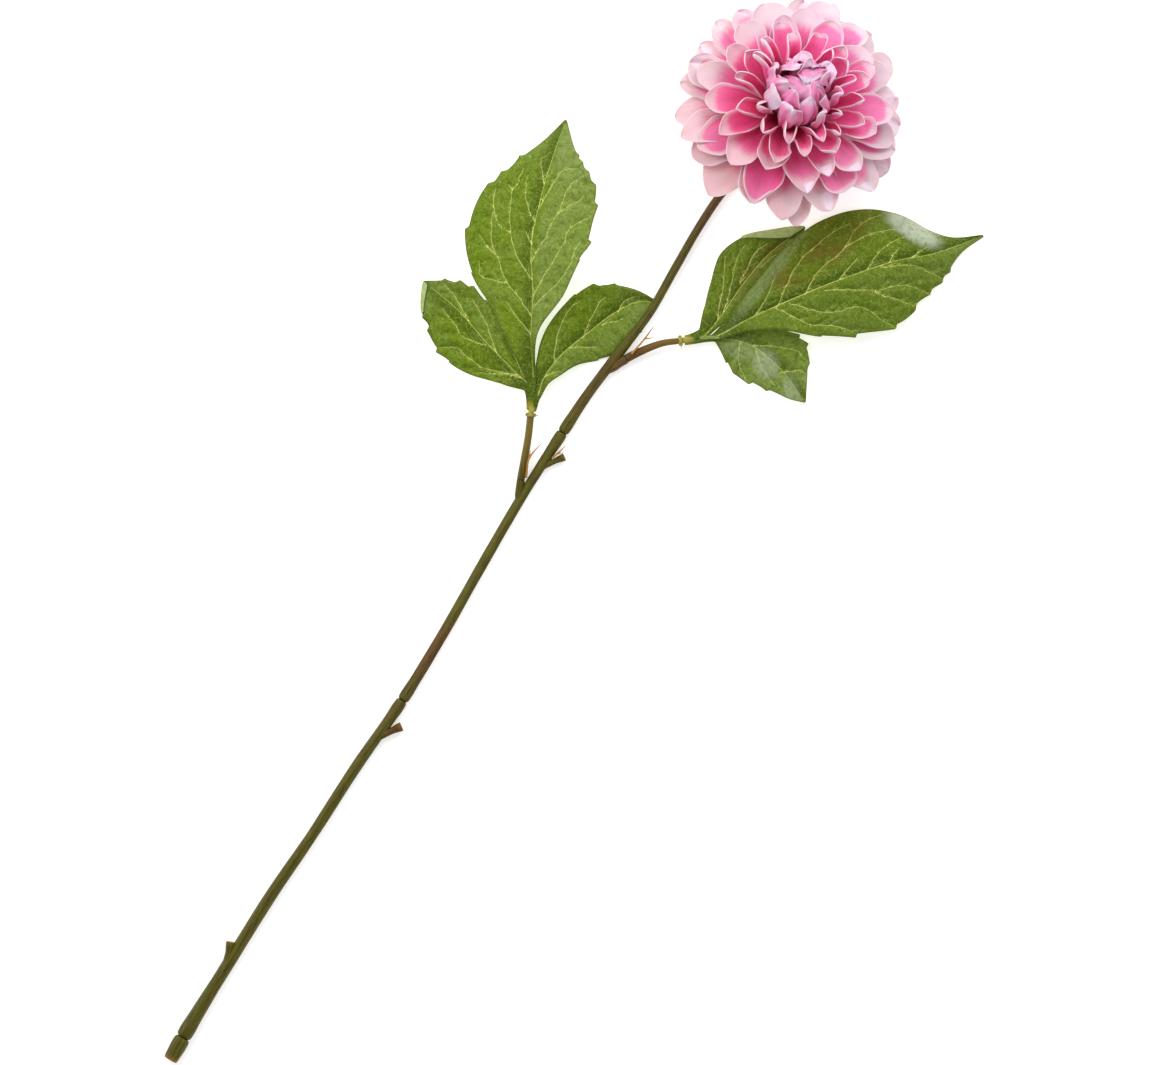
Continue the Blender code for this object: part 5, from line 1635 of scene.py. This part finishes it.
def make_calyx(settings, thickness):
    """The calyx cup, the ring of pointed bracts under the petals, and the post through the discs."""
    green = plastic_shader("calyx plastic", settings.calyx, CALYX_CLOUD)
    core = plastic_shader("post plastic", settings.core, POST_CLOUD)
    for name, profile, finish in (("calyx", CALYX_PROFILE, green), ("post", POST_PROFILE, core)):
        shape = Shape()
        add_turned(shape, profile, TURNED_SIDES, AXIS_START)
        seat(shape.build(f"{name}_moulding", finish), name)
    shape = disc_shape(BRACTS, {}, thickness, 500, bract_look)
    seat(shape.build("bract_disc_bracts", green), "bract_disc")


# ---------------------------------------------------------------- stage

PAPER_HALF = 6.0
AIM = (0.0180, 0.0197)  # the place under the camera, from the middle of the flower
LIGHTS = (  # name, place (rightwards and upwards in the view, and over the surface), target, size, power
    ("key", -0.75, 0.75, 1.1, (0, 0, 0), 1.1, 1.0),
    ("fill", 0.9, -0.5, 1.3, (0, 0, 0), 1.4, 0.3),
    ("gloss", 0.5, 0.9, 0.7, (0, 0.1, 0), 0.6, 0.35),
)
ROOM_LIGHT = 0.34


def axes_at(columns, place):
    """The matrix of an object whose axes are the given columns, at a place."""
    rows = [(*row, shift) for row, shift in zip(np.column_stack(columns), place)]
    return Matrix([*rows, (0, 0, 0, 1)])


def area_light(name, place, target, size, power):
    """A square soft light that faces its target."""
    light = bpy.data.lights.new(name, "AREA")
    light.size, light.energy = size, power
    made = bpy.data.objects.new(name, light)
    bpy.context.scene.collection.objects.link(made)
    back = unit(np.subtract(place, target))
    side = unit(np.cross((0, 0, 1), back))
    made.matrix_world = axes_at([side, np.cross(back, side), back], place)


def make_stage(settings):
    """A pale surface, soft lights, and a camera that looks straight down."""
    scene = bpy.context.scene
    mesh = bpy.data.meshes.new("paper")
    corners = [(x * PAPER_HALF, y * PAPER_HALF, 0) for x, y in ((-1, -1), (1, -1), (1, 1), (-1, 1))]
    mesh.from_pydata(corners, [], [(0, 1, 2, 3)])
    paper = bpy.data.objects.new("paper", mesh)
    scene.collection.objects.link(paper)
    shader = Shader("paper", Roughness=0.9, Specular_IOR_Level=0.1, Emission_Strength=0.5)
    fibre = shader.noise(shader.place(), PAPER_FIBRE, 2.0)
    shade = shader.mix(fibre * 0.02, settings.paper, PAPER_GRAIN)
    shader.feed(Base_Color=shade, Emission_Color=shade)
    mesh.materials.append(shader.material)
    world = bpy.data.worlds.new("studio")
    world.use_nodes = True
    background = world.node_tree.nodes["Background"].inputs
    background["Color"].default_value = (1, 1, 1, 1)
    background["Strength"].default_value = ROOM_LIGHT
    scene.world = world
    cos, sin = math.cos(settings.turn), math.sin(settings.turn)
    right, up = np.array([cos, sin, 0.0]), np.array([-sin, cos, 0.0])
    for name, across, along, height, target, size, share in LIGHTS:
        area_light(name, across * right + along * up + (0, 0, height), target, size, share * settings.key)
    camera = bpy.data.cameras.new("camera")
    camera.sensor_width = 36.0
    camera.lens = camera.sensor_width * settings.distance / settings.field
    camera.clip_end = 100.0
    viewer = bpy.data.objects.new("camera", camera)
    scene.collection.objects.link(viewer)
    viewer.matrix_world = axes_at([right, up, (0, 0, 1)], (*AIM, settings.distance))
    scene.camera = viewer
    scene.view_settings.view_transform = "Standard"


# ---------------------------------------------------------------- operators and panel


class DAHLIA_OT_stem(bpy.types.Operator):
    """Builds the four moulded sections of the stem, with their stubs"""

    bl_idname = "dahlia.stem"
    bl_label = "Stem"

    def execute(self, context):
        make_stem(context.scene.dahlia_stem)
        return {"FINISHED"}


class DAHLIA_OT_stalks(bpy.types.Operator):
    """Builds the leaf stalks, collars and leaf feet"""

    bl_idname = "dahlia.stalks"
    bl_label = "Leaf stalks"

    def execute(self, context):
        make_stalks(context.scene.dahlia_stem, context.scene.dahlia_leaf)
        return {"FINISHED"}


class DAHLIA_OT_shoots(bpy.types.Operator):
    """Builds the three thin forked shoots"""

    bl_idname = "dahlia.shoots"
    bl_label = "Shoots"

    def execute(self, context):
        make_shoots(context.scene.dahlia_stem)
        return {"FINISHED"}


class DAHLIA_OT_leaflets(bpy.types.Operator):
    """Builds the six leaflets"""

    bl_idname = "dahlia.leaflets"
    bl_label = "Leaflets"

    def execute(self, context):
        settings = context.scene.dahlia_leaf
        finish = leaf_shader(settings)
        for number, (name, shape) in enumerate(LEAFLETS.items()):
            make_leaflet(name, shape, settings, finish, 200 + number)
        return {"FINISHED"}


class DAHLIA_OT_calyx(bpy.types.Operator):
    """Builds the calyx, the bracts and the post"""

    bl_idname = "dahlia.calyx"
    bl_label = "Calyx and post"

    def execute(self, context):
        make_calyx(context.scene.dahlia_stem, context.scene.dahlia_petal.thickness / MM)
        return {"FINISHED"}


class DAHLIA_OT_petals(bpy.types.Operator):
    """Builds the nine discs of open petals"""

    bl_idname = "dahlia.petals"
    bl_label = "Petals"

    def execute(self, context):
        settings = context.scene.dahlia_petal
        finish = petal_shader("petal fabric", settings)
        for index in range(len(PETAL_DISCS)):
            make_petal_disc(index, settings, finish)
        return {"FINISHED"}


class DAHLIA_OT_bud(bpy.types.Operator):
    """Builds the closed petals in the middle of the head"""

    bl_idname = "dahlia.bud"
    bl_label = "Bud"

    def execute(self, context):
        settings = context.scene.dahlia_petal
        make_bud(settings, petal_shader("bud fabric", settings))
        return {"FINISHED"}


class DAHLIA_OT_stage(bpy.types.Operator):
    """Adds the pale surface, the lights and the camera"""

    bl_idname = "dahlia.stage"
    bl_label = "Stage"

    def execute(self, context):
        make_stage(context.scene.dahlia_stage)
        return {"FINISHED"}


OPERATORS = (
    DAHLIA_OT_stem, DAHLIA_OT_stalks, DAHLIA_OT_shoots, DAHLIA_OT_leaflets, DAHLIA_OT_calyx,
    DAHLIA_OT_petals, DAHLIA_OT_bud, DAHLIA_OT_stage,
)
SETTINGS = {
    "dahlia_stem": StemSettings, "dahlia_leaf": LeafSettings, "dahlia_petal": PetalSettings,
    "dahlia_stage": StageSettings,
}


class DAHLIA_PT_panel(bpy.types.Panel):
    """Lists the pieces of the flower and their settings"""

    bl_idname = "DAHLIA_PT_panel"
    bl_label = "Fabric dahlia"
    bl_space_type = "VIEW_3D"
    bl_region_type = "UI"
    bl_category = "Dahlia"

    def draw(self, context):
        for operator in OPERATORS:
            self.layout.operator(operator.bl_idname)
        for name, group in SETTINGS.items():
            box = self.layout.box()
            for key in group.__annotations__:
                box.prop(getattr(context.scene, name), key)


def register():
    for group in (*SETTINGS.values(), *OPERATORS, DAHLIA_PT_panel):
        bpy.utils.register_class(group)
    for name, group in SETTINGS.items():
        setattr(bpy.types.Scene, name, bpy.props.PointerProperty(type=group))


def unregister():
    for name in SETTINGS:
        delattr(bpy.types.Scene, name)
    for group in (DAHLIA_PT_panel, *OPERATORS, *SETTINGS.values()):
        bpy.utils.unregister_class(group)


def main():
    register()
    for operator in OPERATORS:
        group, name = operator.bl_idname.split(".")
        getattr(getattr(bpy.ops, group), name)()


if __name__ == "__main__":
    main()
